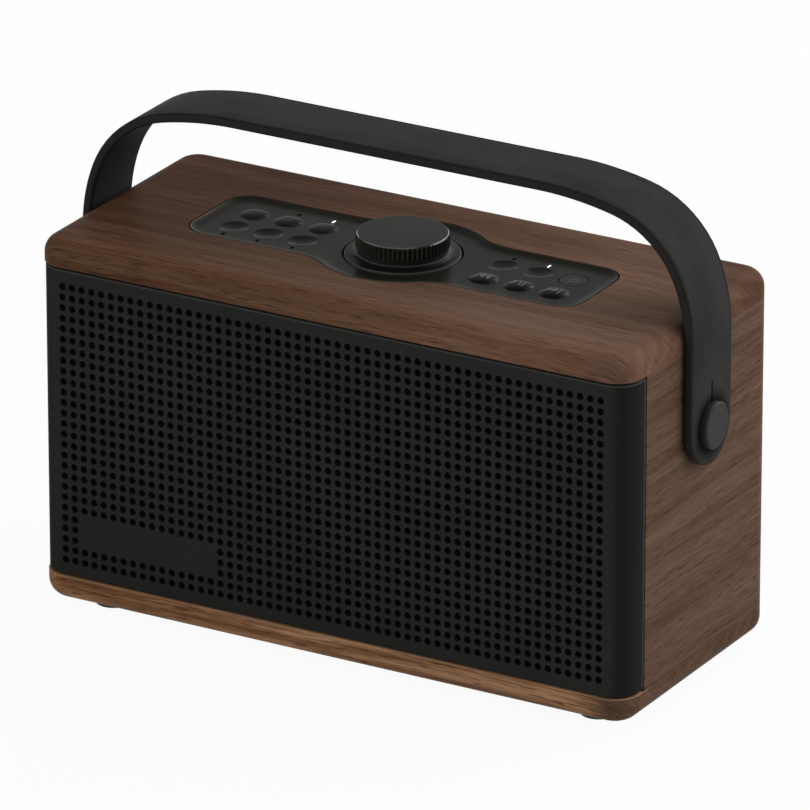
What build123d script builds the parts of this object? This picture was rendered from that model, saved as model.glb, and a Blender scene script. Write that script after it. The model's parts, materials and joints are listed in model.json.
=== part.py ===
from build123d import *
import os
from math import radians, sin, sqrt

# A tabletop radio: a walnut cabinet with a perforated metal front wrapped round its corners, a dished
# control panel with a volume knob and push buttons sunk in the top, a strap handle on two side studs,
# and a telescopic aerial folded along the back.
# Millimetres. +X is to the right seen from the front, +Y to the back, +Z up.
# The origin is on the table, under the middle of the whole radio with its aerial folded.

# Clearances
play = 0.3
slip = 0.15
running = 0.05
push = 0.02

# Cabinet
cab_w = 238.4
cab_d = 105.6
cab_h = 137.4
top_t = 9.7
bottom_t = 10.1
side_t = 10.0
corner_r = 9.7
edge_r = 6.6
batten = 10.0

# Feet
foot_h = 4.0
foot_r = 7.0
foot_taper = 6
foot_inset_x = 20.4
foot_inset_y = 17.8
foot_bore_r = 1.8
foot_head_r = 3.0
foot_head_h = 1.6
foot_head_sink = 2.4
foot_screw_r = 1.5
foot_screw_l = 7.0

# Perforated front
grille_t = 1.2
grille_inset = 0.4
grille_wrap = 13.1
hole_pitch = 8.0
hole_side = 5.0
hole_margin_x = 8.6
hole_margin_z = 4.1
plate_w = 54.0
plate_h = 14.0
plate_from_left = 43.2
plate_from_bottom = 18.8
cloth_t = 0.4
cloth_margin = 2.0

# Loudspeakers
driver_inset = 12.2
driver_r = 39.0
flange_t = 2.5
flange_w = 4.0
basket_depth = 22.0
basket_r = 25.0
basket_wall = 1.6
basket_windows = 4
window_w = 16.0
magnet_r = 23.0
magnet_t = 14.0
cone_t = 0.9
cone_depth = 10.0
cap_r = 10.5
roll_w = 4.0
roll_h = 1.8
driver_screws_each = 4
driver_screw_r = 1.2
driver_screw_l = 7.0
driver_head_r = 1.9
driver_head_h = 1.5

# Control panel
panel_l = 158.0
panel_w = 41.6
panel_t = 4.0
panel_end_r = 9.5
panel_bulge_r = 31.0
panel_waist_r = 19.0
panel_rim = 0.7
dish_depth = 1.1
dish_lip = 3.0
panel_ledge = 2.5
carrier_t = 2.0
carrier_lap = 3.5
boss_r = 2.6
boss_end_x = 72.0
boss_mid_y = 24.6
panel_screw_r = 1.1
panel_head_r = 2.2
panel_head_h = 1.5
panel_screw_l = 5.0

# Button board
board_t = 1.6
switch_side = 5.0
switch_h = 2.2
encoder_side = 12.0
bush_r = 4.5

# Buttons
button_r = 5.3
button_first_x = 36.5
button_pitch = 14.0
button_row_y = 7.05
button_gap = 0.2
button_rise = 0.1
button_crown = 0.9
button_dimple = 1.0
button_flange_w = 0.5
button_flange_t = 0.8
button_travel = 0.5
button_stem_r = 1.8

# Indicator lights
light_w = 0.8
light_l = 3.2
light_row_y = 14.6

# Volume knob
knob_r = 16.65
knob_h = 6.7
knob_flutes = 60
flute_side = 0.75
flute_foot = 1.6
knob_bevel = 0.8
skirt_r = 20.6
skirt_lift = 0.2
skirt_h = 1.4
skirt_seat = 0.9
well_gap = 0.9
well_web = 1.0
shaft_r = 3.0
shaft_flat = 2.3
cap_roof = 2.0

# Strap handle
strap_w = 29.0
strap_t = 3.4
strap_gap = 0.6
strap_rise = 42.1
strap_bevel = 0.7
shoulder_r = (130.0, 39.5, 66.0)
shoulder_turn = (13.3, 55.5, 21.2)
stud_drop = 40.8
stud_post_r = 3.5
stud_head_r = 8.5
stud_head_h = 2.3
stud_bevel = 0.7
stud_shank_r = 2.5
stud_tail = 4.0
nut_r = 5.0
nut_h = 3.0
slit_l = 16.0
slit_w = 0.9
slit_end_r = 0.9

# Rear cover
cover_t = 3.0
cover_inset = 1.0
cover_rib_t = 2.0
cover_rib_h = 5.0
cover_frame_inset = 16.0
cover_frame_h = 37.0
cover_screw_r = 1.6
cover_screw_l = 10.0
cover_head_r = 3.0
cover_head_h = 1.4
pocket_w = 50.0
pocket_h = 15.0
pocket_r = 3.0
pocket_depth = 1.5

# Main board and sockets
main_w = 80.0
main_d = 36.0
main_inset = 14.2
main_lift = 8.0
main_corner = 4.0
standoff_r = 2.8
main_screw_r = 1.2
main_head_r = 2.2
main_head_h = 1.4
usb_w = 9.0
usb_h = 3.4
usb_l = 7.6
usb_wall = 0.4
usb_depth = 6.2
usb_tongue_t = 0.7
usb_tongue_w = 6.6
usb_shift = -13.0
jack_w = 7.0
jack_h = 6.0
jack_l = 12.0
jack_barrel_r = 2.9
jack_bore_r = 1.8
jack_bore_l = 11.0
jack_shift = 11.0

# Battery
cell_r = 9.2
battery_l = 70.0
battery_inset = 8.2
battery_y = 12.0
clamp_t = 1.2
clamp_w = 16.0
clamp_foot = 9.0

# Telescopic aerial
aerial_reach = 8.8
aerial_inset_x = 17.0
aerial_inset_z = 13.7
mount_r = 8.0
mount_t = 1.2
turret_r = 6.0
turret_t = 1.1
stem_r = 3.0
stem_tail = 2.6
stem_nut_r = 5.0
stem_nut_h = 1.8
tongue_r = 3.4
tongue_t = 2.4
ear_t = 1.6
pin_r = 1.2
elbow_l = 10.0
spigot_r = 2.45
spigot_l = 8.0
tube_r = 3.0
tube_wall = 0.5
tube_l = 150.0
tube_step = 1.5
bead_r = 2.9
bead_l = 5.0
rest_inset = 7.8
rest_w = 6.0
rest_t = 2.0
rest_reach = 6.5

# Levels worked out from the sizes above, with Y from the middle of the cabinet's depth
mid_y = -aerial_reach / 2
front_y = -cab_d / 2
back_y = cab_d / 2
floor_z = foot_h + bottom_t
top_z = foot_h + cab_h
ceiling_z = top_z - top_t
middle_z = (floor_z + ceiling_z) / 2
baffle_front_y = front_y + grille_inset + grille_t + cloth_t
baffle_back_y = front_y + grille_wrap
cover_back_y = back_y - cover_inset
cover_front_y = cover_back_y - cover_t
dish_z = top_z - dish_depth
panel_under_z = top_z - panel_t
well_z = panel_under_z + well_web
board_z = ceiling_z + board_t
stud_z = top_z - stud_drop
strap_top = top_z + strap_rise
strap_half = cab_w / 2 + strap_gap + strap_t
inner_x = cab_w / 2 - side_t
driver_x = inner_x - driver_inset - driver_r
main_x = inner_x - batten - main_inset - main_w / 2
usb_x = main_x + usb_shift
jack_x = main_x + jack_shift
battery_x = batten + battery_inset + battery_l / 2 - inner_x
aerial_x = inner_x - aerial_inset_x
aerial_z = ceiling_z - aerial_inset_z
pin_y = back_y + aerial_reach - tongue_r
tube_end_x = aerial_x - elbow_l - tube_l
rest_x = tube_end_x + rest_inset

os.makedirs("parts", exist_ok=True)


def level(z):
    """A flat plane at height z, its origin at the middle of the cabinet's plan."""
    return Plane(origin=(0, mid_y, z), x_dir=(1, 0, 0), z_dir=(0, 0, 1))


def facing_front(y, x=0, z=0):
    """An upright plane y behind the middle of the depth, facing the front, with X across and Z up."""
    return Plane(origin=(x, mid_y + y, z), x_dir=(1, 0, 0), z_dir=(0, -1, 0))


def facing_right(x, y=0, z=0):
    """An upright plane at x facing the right side, with Y across and Z up."""
    return Plane(origin=(x, mid_y + y, z), x_dir=(0, 1, 0), z_dir=(1, 0, 0))


def axis_along(direction, x, y, z):
    """A line through a point whose y is taken from the middle of the depth."""
    return Axis((x, mid_y + y, z), direction)


def keep(piece, name):
    """Labels a finished piece and writes it under its own name."""
    piece.part.label = name
    export_step(piece.part, f"parts/{name}.step")


def cabinet_plan(inset, low_y, high_y, front=front_y):
    """The cabinet's rounded plan drawn in by inset, its front edge at front, kept between two depths."""
    with BuildSketch() as plan:
        with Locations((0, front + cab_d / 2)):
            RectangleRounded(cab_w - 2 * inset, cab_d, corner_r - inset)
        with Locations((0, (low_y + high_y) / 2)):
            Rectangle(cab_w, high_y - low_y, mode=Mode.INTERSECT)
    return plan.sketch


def panel_outline(grow=0):
    """The control panel's outline grown all round: a bar with a round bulge, blended by hollow waists."""
    waist_x = sqrt((panel_bulge_r + panel_waist_r) ** 2 - (panel_w / 2 + panel_waist_r) ** 2)
    waist = Vector(waist_x, panel_w / 2 + panel_waist_r)
    half_l = panel_l / 2 + grow
    half_w = panel_w / 2 + grow
    end_r = panel_end_r + grow
    on_bulge = waist.normalized() * (panel_bulge_r + grow)
    on_side = Vector(waist_x, half_w)
    bend = (on_bulge - waist).normalized() + (on_side - waist).normalized()
    mid_waist = waist + bend.normalized() * (panel_waist_r - grow)
    with BuildSketch() as outline:
        with BuildLine():
            RadiusArc((0, panel_bulge_r + grow), on_bulge, panel_bulge_r + grow)
            ThreePointArc(on_bulge, mid_waist, on_side)
            Line(on_side, (half_l - end_r, half_w))
            RadiusArc((half_l - end_r, half_w), (half_l, half_w - end_r), end_r)
            Line((half_l, half_w - end_r), (half_l, 0))
            mirror(about=Plane.XZ)
            mirror(about=Plane.YZ)
        make_face()
    return outline.sketch


def corners(x, y):
    """Four places, one in each quarter."""
    return [(sx * x, sy * y) for sx in (-1, 1) for sy in (-1, 1)]


# Places of what repeats
foot_places = corners(cab_w / 2 - foot_inset_x, cab_d / 2 - foot_inset_y)
boss_places = [(-boss_end_x, 0), (boss_end_x, 0), (0, -boss_mid_y), (0, boss_mid_y)]
button_spots = ("inner", "middle", "outer")
button_xs = [button_first_x + step * button_pitch for step in range(len(button_spots))]
button_rows = {"front": -button_row_y, "back": button_row_y}
button_places = {
    f"button_{side}_{row}_{spot}": (sign * x, y)
    for side, sign in (("left", -1), ("right", 1))
    for row, y in button_rows.items()
    for spot, x in zip(button_spots, button_xs)
}
lit_places = [(-button_xs[0], light_row_y), (button_xs[1], light_row_y)]
dark_places = [(-x, -light_row_y) for x in button_xs]
dark_places += [(-button_xs[1], light_row_y), (button_xs[0], light_row_y)]
batten_x = inner_x - batten / 2
batten_zs = (floor_z + batten / 2, ceiling_z - batten / 2)
batten_places = [(side * batten_x, z) for side in (-1, 1) for z in batten_zs]
main_y = cover_front_y - play - main_d / 2
main_z = floor_z + main_lift
main_corners = corners(main_w / 2 - main_corner, main_d / 2 - main_corner)
main_places = [(main_x + x, main_y + y) for x, y in main_corners]


# Top board, with a stepped opening that the control panel drops into
with BuildPart() as top_board:
    with BuildSketch(level(ceiling_z)):
        RectangleRounded(cab_w, cab_d, corner_r)
    extrude(amount=top_t)
    fillet(top_board.faces().sort_by(Axis.Z)[-1].edges(), edge_r)
    with BuildSketch(level(top_z)):
        add(panel_outline(slip))
    extrude(amount=-panel_t, mode=Mode.SUBTRACT)
    with BuildSketch(level(top_z)):
        add(panel_outline(-panel_ledge))
    extrude(amount=-top_t, mode=Mode.SUBTRACT)
keep(top_board, "top_board")

# Bottom board, drilled for the foot screws
with BuildPart() as bottom_board:
    with BuildSketch(level(foot_h)):
        RectangleRounded(cab_w, cab_d, corner_r)
    extrude(amount=bottom_t)
    fillet(bottom_board.faces().sort_by(Axis.Z)[0].edges(), edge_r)
    with BuildSketch(level(foot_h)):
        with Locations(*foot_places):
            RegularPolygon(foot_screw_r + running, 6)
    extrude(amount=foot_screw_l + play, mode=Mode.SUBTRACT)
keep(bottom_board, "bottom_board")

# Side boards, each bored for its strap stud
for name, side in (("left_side_board", -1), ("right_side_board", 1)):
    with BuildPart() as side_board:
        with BuildSketch(level(floor_z)):
            add(cabinet_plan(0, baffle_back_y, back_y))
            with Locations((side * (cab_w - side_t) / 2, 0)):
                Rectangle(side_t, cab_d, mode=Mode.INTERSECT)
        extrude(amount=ceiling_z - floor_z)
        with BuildSketch(facing_right(0)):
            with Locations((0, stud_z)):
                Circle(stud_shank_r + running)
        extrude(amount=cab_w, both=True, mode=Mode.SUBTRACT)
    keep(side_board, name)

# Battens glued along the four inner corners; the rear cover screws into their ends
with BuildPart() as battens:
    with BuildSketch(facing_front(baffle_back_y)):
        with Locations(*batten_places):
            Rectangle(batten, batten)
    extrude(amount=baffle_back_y - cover_front_y)
    with BuildSketch(facing_front(cover_front_y)):
        with Locations(*batten_places):
            RegularPolygon(cover_screw_r + running, 6)
    extrude(amount=cover_screw_l, mode=Mode.SUBTRACT)
keep(battens, "corner_battens")

# Rubber feet and their screws
with BuildPart() as feet:
    with BuildSketch(level(foot_h)):
        with Locations(*foot_places):
            Circle(foot_r)
    extrude(amount=-foot_h, taper=foot_taper)
    with BuildSketch(level(0)):
        with Locations(*foot_places):
            RegularPolygon(foot_head_r + play, 6)
    extrude(amount=foot_head_sink, mode=Mode.SUBTRACT)
    with BuildSketch(level(0)):
        with Locations(*foot_places):
            RegularPolygon(foot_bore_r, 6)
    extrude(amount=foot_h, mode=Mode.SUBTRACT)
keep(feet, "rubber_feet")

with BuildPart() as foot_screws:
    with BuildSketch(level(foot_head_sink)):
        with Locations(*foot_places):
            RegularPolygon(foot_head_r, 6)
    extrude(amount=-foot_head_h)
    with BuildSketch(level(foot_head_sink)):
        with Locations(*foot_places):
            RegularPolygon(foot_screw_r, 6)
    extrude(amount=foot_h - foot_head_sink + foot_screw_l)
keep(foot_screws, "foot_screws")

# Baffle that carries the loudspeakers, inside the wrapped front
driver_places = [(-driver_x, middle_z), (driver_x, middle_z)]
driver_bolt_r = driver_r - flange_w / 2
with BuildPart() as baffle:
    with BuildSketch(level(floor_z + slip)):
        add(cabinet_plan(grille_inset + grille_t + play, baffle_front_y, baffle_back_y, baffle_front_y))
    extrude(amount=ceiling_z - floor_z - 2 * slip)
    with BuildSketch(facing_front(baffle_back_y)):
        with Locations(*driver_places):
            Circle(driver_r - flange_w)
    extrude(amount=grille_wrap, mode=Mode.SUBTRACT)
    with BuildSketch(facing_front(baffle_back_y)):
        with Locations(*driver_places):
            with PolarLocations(driver_bolt_r, driver_screws_each, start_angle=45):
                RegularPolygon(driver_screw_r + running, 6)
    extrude(amount=driver_screw_l + play, mode=Mode.SUBTRACT)
keep(baffle, "front_baffle")

# Perforated sheet wrapped round the front corners, with a bare plate low on the left
grille_low = floor_z + slip
grille_high = ceiling_z - slip
grille_front_y = front_y + grille_inset
hole_columns = int((cab_w - 2 * (hole_margin_x + hole_side / 2)) / hole_pitch) + 1
hole_rows = int((grille_high - grille_low - 2 * (hole_margin_z + hole_side / 2)) / hole_pitch) + 1
with BuildPart() as grille:
    with BuildSketch(level(grille_low)):
        add(cabinet_plan(grille_inset, front_y, baffle_back_y - slip, grille_front_y))
        inner_plan = cabinet_plan(grille_inset + grille_t, front_y, back_y, grille_front_y + grille_t)
        add(inner_plan, mode=Mode.SUBTRACT)
    extrude(amount=grille_high - grille_low)
    with BuildSketch(facing_front(grille_front_y + grille_t)):
        with Locations((0, middle_z)):
            with GridLocations(hole_pitch, hole_pitch, hole_columns, hole_rows):
                Rectangle(hole_side, hole_side)
        with Locations((plate_from_left - cab_w / 2, floor_z + plate_from_bottom)):
            Rectangle(plate_w, plate_h, mode=Mode.SUBTRACT)
    extrude(amount=2 * grille_t, mode=Mode.SUBTRACT)
keep(grille, "front_grille")

# Thin cloth between the perforated sheet and the baffle
with BuildPart() as cloth:
    with BuildSketch(facing_front(baffle_front_y)):
        with Locations((0, middle_z)):
            Rectangle(cab_w - 2 * (corner_r + slip), grille_high - grille_low - 2 * cloth_margin)
    extrude(amount=cloth_t)
keep(cloth, "grille_cloth")

# Loudspeakers, each a pressed basket with windows, a paper cone with its roll and dust cap, and a magnet
rim_r = driver_r - flange_w
for name, (place_x, place_z) in (("left_driver", driver_places[0]), ("right_driver", driver_places[1])):
    speaker_axis = axis_along((0, 1, 0), place_x, 0, place_z)
    with BuildPart() as basket:
        with BuildSketch(facing_right(place_x, baffle_back_y, place_z)):
            with BuildLine():
                Polyline(
                    (0, rim_r - flange_w),
                    (0, driver_r),
                    (flange_t, driver_r),
                    (flange_t, rim_r - basket_wall),
                    (basket_depth - basket_wall, basket_r),
                    (basket_depth, basket_r),
                    (basket_depth, cap_r),
                    (basket_depth - basket_wall, cap_r),
                    (basket_depth - basket_wall, basket_r - basket_wall),
                    (flange_t, rim_r - flange_w),
                    close=True,
                )
            make_face()
        revolve(axis=speaker_axis)
        with BuildSketch(facing_front(baffle_back_y + basket_depth - 2 * basket_wall)):
            with Locations((place_x, place_z)):
                with PolarLocations(rim_r, basket_windows):
                    Rectangle(rim_r, window_w)
        extrude(amount=basket_depth - 3 * basket_wall - flange_t, mode=Mode.SUBTRACT)
        with BuildSketch(facing_front(baffle_back_y + flange_t)):
            with Locations((place_x, place_z)):
                with PolarLocations(driver_bolt_r, driver_screws_each, start_angle=45):
                    RegularPolygon(driver_screw_r + running, 6)
        extrude(amount=flange_t, mode=Mode.SUBTRACT)
    keep(basket, f"{name}_basket")

    with BuildPart() as cone:
        with BuildSketch(facing_right(place_x, baffle_back_y, place_z)):
            with BuildLine():
                Polyline(
                    (0, rim_r - slip),
                    (-cone_t, rim_r - slip),
                    (-cone_t, rim_r - flange_w),
                    (-cone_t - roll_h, rim_r - flange_w - roll_w / 2),
                    (-cone_t, rim_r - flange_w - roll_w),
                    (cone_depth - cone_t, cap_r),
                    (cone_depth / 2 - cone_t, 0),
                    (cone_depth / 2, 0),
                    (cone_depth, cap_r),
                    (0, rim_r - flange_w - roll_w),
                    (-roll_h, rim_r - flange_w - roll_w / 2),
                    (0, rim_r - flange_w),
                    close=True,
                )
            make_face()
        revolve(axis=speaker_axis)
    keep(cone, f"{name}_cone")

    with BuildPart() as magnet:
        with BuildSketch(facing_front(baffle_back_y + basket_depth)):
            with Locations((place_x, place_z)):
                Circle(magnet_r)
        extrude(amount=-magnet_t)
    keep(magnet, f"{name}_magnet")

with BuildPart() as driver_screws:
    with BuildSketch(facing_front(baffle_back_y + flange_t)):
        with Locations(*driver_places):
            with PolarLocations(driver_bolt_r, driver_screws_each, start_angle=45):
                RegularPolygon(driver_head_r, 6)
    extrude(amount=-driver_head_h)
    with BuildSketch(facing_front(baffle_back_y + flange_t)):
        with Locations(*driver_places):
            with PolarLocations(driver_bolt_r, driver_screws_each, start_angle=45):
                RegularPolygon(driver_screw_r, 6)
    extrude(amount=flange_t + driver_screw_l)
keep(driver_screws, "driver_screws")

# Control panel: a dished moulding with bored buttons, light slots, a well for the knob and screw bosses
with BuildPart() as control_panel:
    with BuildSketch(level(panel_under_z)):
        add(panel_outline())
    extrude(amount=panel_t)
    with BuildSketch(level(top_z)):
        add(panel_outline(-panel_rim))
    with BuildSketch(level(dish_z)):
        add(panel_outline(-panel_rim - dish_lip))
    loft(ruled=True, mode=Mode.SUBTRACT)
    with BuildSketch(level(top_z)):
        with Locations(*button_places.values()):
            Circle(button_r + button_gap)
        with Locations(*lit_places, *dark_places):
            Rectangle(light_w + 2 * running, light_l + 2 * running)
        Circle(bush_r + slip)
    extrude(amount=-panel_t, mode=Mode.SUBTRACT)
    with BuildSketch(level(top_z)):
        Circle(skirt_r + well_gap)
    extrude(amount=well_z - top_z, mode=Mode.SUBTRACT)
    with BuildSketch(level(panel_under_z)):
        with Locations(*boss_places):
            Circle(boss_r)
            RegularPolygon(panel_screw_r + running, 6, mode=Mode.SUBTRACT)
    extrude(amount=ceiling_z - panel_under_z)
keep(control_panel, "control_panel")

# Carrier under the top board, screwed up into the panel's bosses so that the board is clamped between them
with BuildPart() as carrier:
    with BuildSketch(level(ceiling_z)):
        add(panel_outline(carrier_lap))
        with Locations(*boss_places):
            RegularPolygon(panel_screw_r + running, 6, mode=Mode.SUBTRACT)
    extrude(amount=-carrier_t)
keep(carrier, "panel_carrier")

with BuildPart() as panel_screws:
    with BuildSketch(level(ceiling_z - carrier_t)):
        with Locations(*boss_places):
            RegularPolygon(panel_head_r, 6)
    extrude(amount=-panel_head_h)
    with BuildSketch(level(ceiling_z - carrier_t)):
        with Locations(*boss_places):
            RegularPolygon(panel_screw_r, 6)
    extrude(amount=carrier_t + panel_screw_l)
keep(panel_screws, "panel_screws")

# Button board on the carrier, with its switches and light pipes
with BuildPart() as button_board:
    with BuildSketch(level(ceiling_z)):
        add(panel_outline(-panel_ledge - play))
        with Locations(*boss_places):
            Circle(boss_r + play, mode=Mode.SUBTRACT)
    extrude(amount=board_t)
keep(button_board, "button_board")

with BuildPart() as switches:
    with BuildSketch(level(board_z)):
        with Locations(*button_places.values()):
            Rectangle(switch_side, switch_side)
    extrude(amount=switch_h)
keep(switches, "button_switches")

for name, places in (("lit_light_pipes", lit_places), ("dark_light_pipes", dark_places)):
    with BuildPart() as pipes:
        with BuildSketch(level(board_z)):
            with Locations(*places):
                Rectangle(light_w, light_l)
        extrude(amount=dish_z - board_z)
    keep(pipes, name)

# Push buttons: domes, dimples and one flat cap, each held under the panel by its flange
flange_top_z = panel_under_z - running
flange_low_z = flange_top_z - button_flange_t
rim_z = dish_z + button_rise
stem_low_z = board_z + switch_h + button_travel + running
dimpled = ["button_left_front", "button_right_back"]
flat_button = "button_right_back_outer"
for name, place in button_places.items():
    with BuildPart() as button:
        with BuildSketch(level(flange_low_z)):
            with Locations(place):
                Circle(button_r + button_flange_w)
        extrude(amount=button_flange_t)
        with BuildSketch(level(stem_low_z)):
            with Locations(place):
                Circle(button_stem_r)
        extrude(amount=flange_low_z - stem_low_z)
        with BuildSketch(level(flange_top_z)):
            with Locations(place):
                Circle(button_r)
        extrude(amount=rim_z - flange_top_z)
        if name.rsplit("_", 1)[0] in dimpled and name != flat_button:
            hollow_r = (button_r**2 + button_dimple**2) / (2 * button_dimple)
            with Locations((place[0], mid_y + place[1], rim_z - button_dimple + hollow_r)):
                Sphere(hollow_r, mode=Mode.SUBTRACT)
        elif name != flat_button:
            crown_r = (button_r**2 + button_crown**2) / (2 * button_crown)
            with BuildSketch(facing_front(place[1], place[0], rim_z)):
                with BuildLine():
                    RadiusArc((0, button_crown), (button_r, 0), crown_r)
                    Polyline((button_r, 0), (0, 0), (0, button_crown))
                make_face()
            revolve(axis=axis_along((0, 0, 1), *place, 0))
    keep(button, name)

# Rotary encoder: a body on the button board, and a shaft that turns in its bush
with BuildPart() as encoder:
    with BuildSketch(level(board_z)):
        Rectangle(encoder_side, encoder_side)
    extrude(amount=panel_under_z - play - board_z)
    with BuildSketch(level(panel_under_z - play)):
        Circle(bush_r)
    extrude(amount=well_web + play)
    with BuildSketch(level(well_z)):
        Circle(shaft_r + running)
    extrude(amount=board_z + board_t - well_z, mode=Mode.SUBTRACT)
keep(encoder, "encoder_body")

skirt_low_z = well_z + play
skirt_top_z = dish_z + skirt_h
knob_top_z = skirt_top_z + knob_h
shaft_top_z = knob_top_z - cap_roof


def flat_shaft(grow):
    """The shaft's D section, grown all round."""
    with BuildSketch() as section:
        Circle(shaft_r + grow)
        with Locations((0, shaft_flat + grow)):
            Rectangle(2 * knob_r, knob_r, align=(Align.CENTER, Align.MIN), mode=Mode.SUBTRACT)
    return section.sketch


with BuildPart() as shaft:
    with BuildSketch(level(board_z + board_t + push)):
        Circle(shaft_r)
    extrude(amount=skirt_low_z - board_z - board_t - push)
    with BuildSketch(level(skirt_low_z)):
        add(flat_shaft(0))
    extrude(amount=shaft_top_z - skirt_low_z)
keep(shaft, "encoder_shaft")

# Knob: a flared skirt in the panel's well, and a fluted cap with a bevelled top
with BuildPart() as skirt:
    with BuildSketch(facing_front(0)):
        with BuildLine():
            Polyline(
                (0, skirt_low_z),
                (skirt_r, skirt_low_z),
                (skirt_r, dish_z + skirt_lift),
                (knob_r + skirt_seat, skirt_top_z),
                (0, skirt_top_z),
                close=True,
            )
        make_face()
    revolve(axis=axis_along((0, 0, 1), 0, 0, 0))
    with BuildSketch(level(skirt_low_z)):
        add(flat_shaft(push))
    extrude(amount=knob_h, mode=Mode.SUBTRACT)
keep(skirt, "knob_skirt")

with BuildPart() as knob:
    with BuildSketch(level(skirt_top_z)):
        Circle(knob_r - flute_side / 2)
    extrude(amount=knob_h)
    chamfer(knob.faces().sort_by(Axis.Z)[-1].edges(), knob_bevel)
    with BuildSketch(level(skirt_top_z + flute_foot)):
        Circle(knob_r)
        with PolarLocations(knob_r, knob_flutes):
            Rectangle(flute_side, flute_side, rotation=45, mode=Mode.SUBTRACT)
    extrude(amount=knob_h - flute_foot - knob_bevel)
    with BuildSketch(level(skirt_top_z)):
        add(flat_shaft(push))
    extrude(amount=knob_h - cap_roof + push, mode=Mode.SUBTRACT)
keep(knob, "knob_cap")

# Strap handle: a flat band bent over two shoulders, with round ends buttoned over the studs
shoulder_reach = 0
shoulder_start = 0
for radius, turn in zip(shoulder_r, shoulder_turn):
    shoulder_reach += radius * (sin(radians(shoulder_start + turn)) - sin(radians(shoulder_start)))
    shoulder_start += turn


def strap_edge(drop):
    """Half of the band's edge, from the middle of the top down to the stud, drop inside the outer face."""
    with BuildLine() as edge:
        line = Line((0, strap_top - drop), (strap_half - shoulder_reach, strap_top - drop))
        for radius, turn in zip(shoulder_r, shoulder_turn):
            line = JernArc(line @ 1, line % 1, radius - drop, -turn)
        Line(line @ 1, (strap_half - drop, stud_z - strap_w))
    return edge.line


with BuildPart() as strap:
    with BuildSketch(facing_front(0)):
        with BuildLine():
            add(strap_edge(0))
            add(strap_edge(strap_t))
            Line((0, strap_top), (0, strap_top - strap_t))
            Line((strap_half, stud_z - strap_w), (strap_half - strap_t, stud_z - strap_w))
        make_face()
        mirror(about=Plane.YZ)
    extrude(amount=strap_w / 2, both=True)
    with BuildSketch(facing_right(0)):
        with Locations((0, stud_z)):
            Rectangle(strap_w, strap_top, align=(Align.CENTER, Align.MIN))
            Circle(strap_w / 2)
    extrude(amount=strap_half, both=True, mode=Mode.INTERSECT)
    chamfer(strap.edges().filter_by(lambda edge: edge.length > 2 * strap_t), strap_bevel)
    with BuildSketch(facing_right(0)):
        with Locations((0, stud_z)):
            Circle(stud_post_r + running)
            Rectangle(slit_w, slit_l, align=(Align.CENTER, Align.MIN))
        with Locations((0, stud_z + slit_l)):
            Circle(slit_end_r)
    extrude(amount=strap_half, both=True, mode=Mode.SUBTRACT)
keep(strap, "handle_strap")

# Studs that the strap turns on, and their nuts inside the cabinet
with BuildPart() as studs:
    with BuildSketch(facing_front(0, 0, stud_z)):
        with BuildLine():
            Polyline(
                (inner_x - stud_tail, 0),
                (inner_x - stud_tail, stud_shank_r),
                (cab_w / 2, stud_shank_r),
                (cab_w / 2, stud_post_r),
                (strap_half + slip, stud_post_r),
                (strap_half + slip, stud_head_r),
                (strap_half + slip + stud_head_h - stud_bevel, stud_head_r),
                (strap_half + slip + stud_head_h, stud_head_r - stud_bevel),
                (strap_half + slip + stud_head_h, 0),
                close=True,
            )
        make_face()
    revolve(axis=axis_along((1, 0, 0), 0, 0, stud_z))
    mirror(about=Plane.YZ)
keep(studs, "strap_studs")

with BuildPart() as stud_nuts:
    with BuildSketch(facing_right(inner_x)):
        with Locations((0, stud_z)):
            RegularPolygon(nut_r, 6)
            Circle(stud_shank_r + push, mode=Mode.SUBTRACT)
    extrude(amount=-nut_h)
    mirror(about=Plane.YZ)
keep(stud_nuts, "stud_nuts")

# Rear cover: a moulded plate with inner ribs, a sunk socket field and a bored seat for the aerial
cover_w = 2 * inner_x - 2 * play
cover_h = ceiling_z - floor_z - 2 * play
socket_z = main_z + board_t
pocket_x = (usb_x + jack_x) / 2
with BuildPart() as cover:
    with BuildSketch(facing_front(cover_back_y)):
        with Locations((0, middle_z)):
            Rectangle(cover_w, cover_h)
    extrude(amount=cover_t)
    with BuildSketch(facing_front(cover_front_y)):
        with Locations((0, middle_z)):
            Rectangle(cover_w - 2 * cover_frame_inset, cover_frame_h)
            offset(amount=-cover_rib_t, mode=Mode.SUBTRACT)
    extrude(amount=cover_rib_h)
    with BuildSketch(facing_front(cover_back_y - pocket_depth)):
        with Locations((pocket_x, socket_z + jack_h / 2)):
            RectangleRounded(pocket_w, pocket_h, pocket_r)
    extrude(amount=-pocket_depth, mode=Mode.SUBTRACT)
    with BuildSketch(facing_front(cover_back_y)):
        with Locations((usb_x, socket_z + usb_h / 2)):
            RectangleRounded(usb_w + 2 * play, usb_h + 2 * play, usb_h / 2)
        with Locations((jack_x, socket_z + jack_h / 2)):
            Circle(jack_barrel_r + play)
        with Locations((aerial_x, aerial_z)):
            Circle(stem_r + running)
        with Locations(*batten_places):
            Circle(cover_screw_r + slip)
    extrude(amount=cover_t, mode=Mode.SUBTRACT)
keep(cover, "rear_cover")

with BuildPart() as cover_screws:
    with BuildSketch(facing_front(cover_back_y)):
        with Locations(*batten_places):
            Circle(cover_head_r)
    extrude(amount=-cover_head_h)
    with BuildSketch(facing_front(cover_back_y)):
        with Locations(*batten_places):
            RegularPolygon(cover_screw_r, 6)
    extrude(amount=cover_t + cover_screw_l - play)
keep(cover_screws, "rear_cover_screws")

# Main board on standoffs, with the two sockets at its rear edge
with BuildPart() as standoffs:
    with BuildSketch(level(floor_z)):
        with Locations(*main_places):
            RegularPolygon(standoff_r, 6)
            RegularPolygon(main_screw_r + running, 6, mode=Mode.SUBTRACT)
    extrude(amount=main_lift)
keep(standoffs, "board_standoffs")

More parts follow.
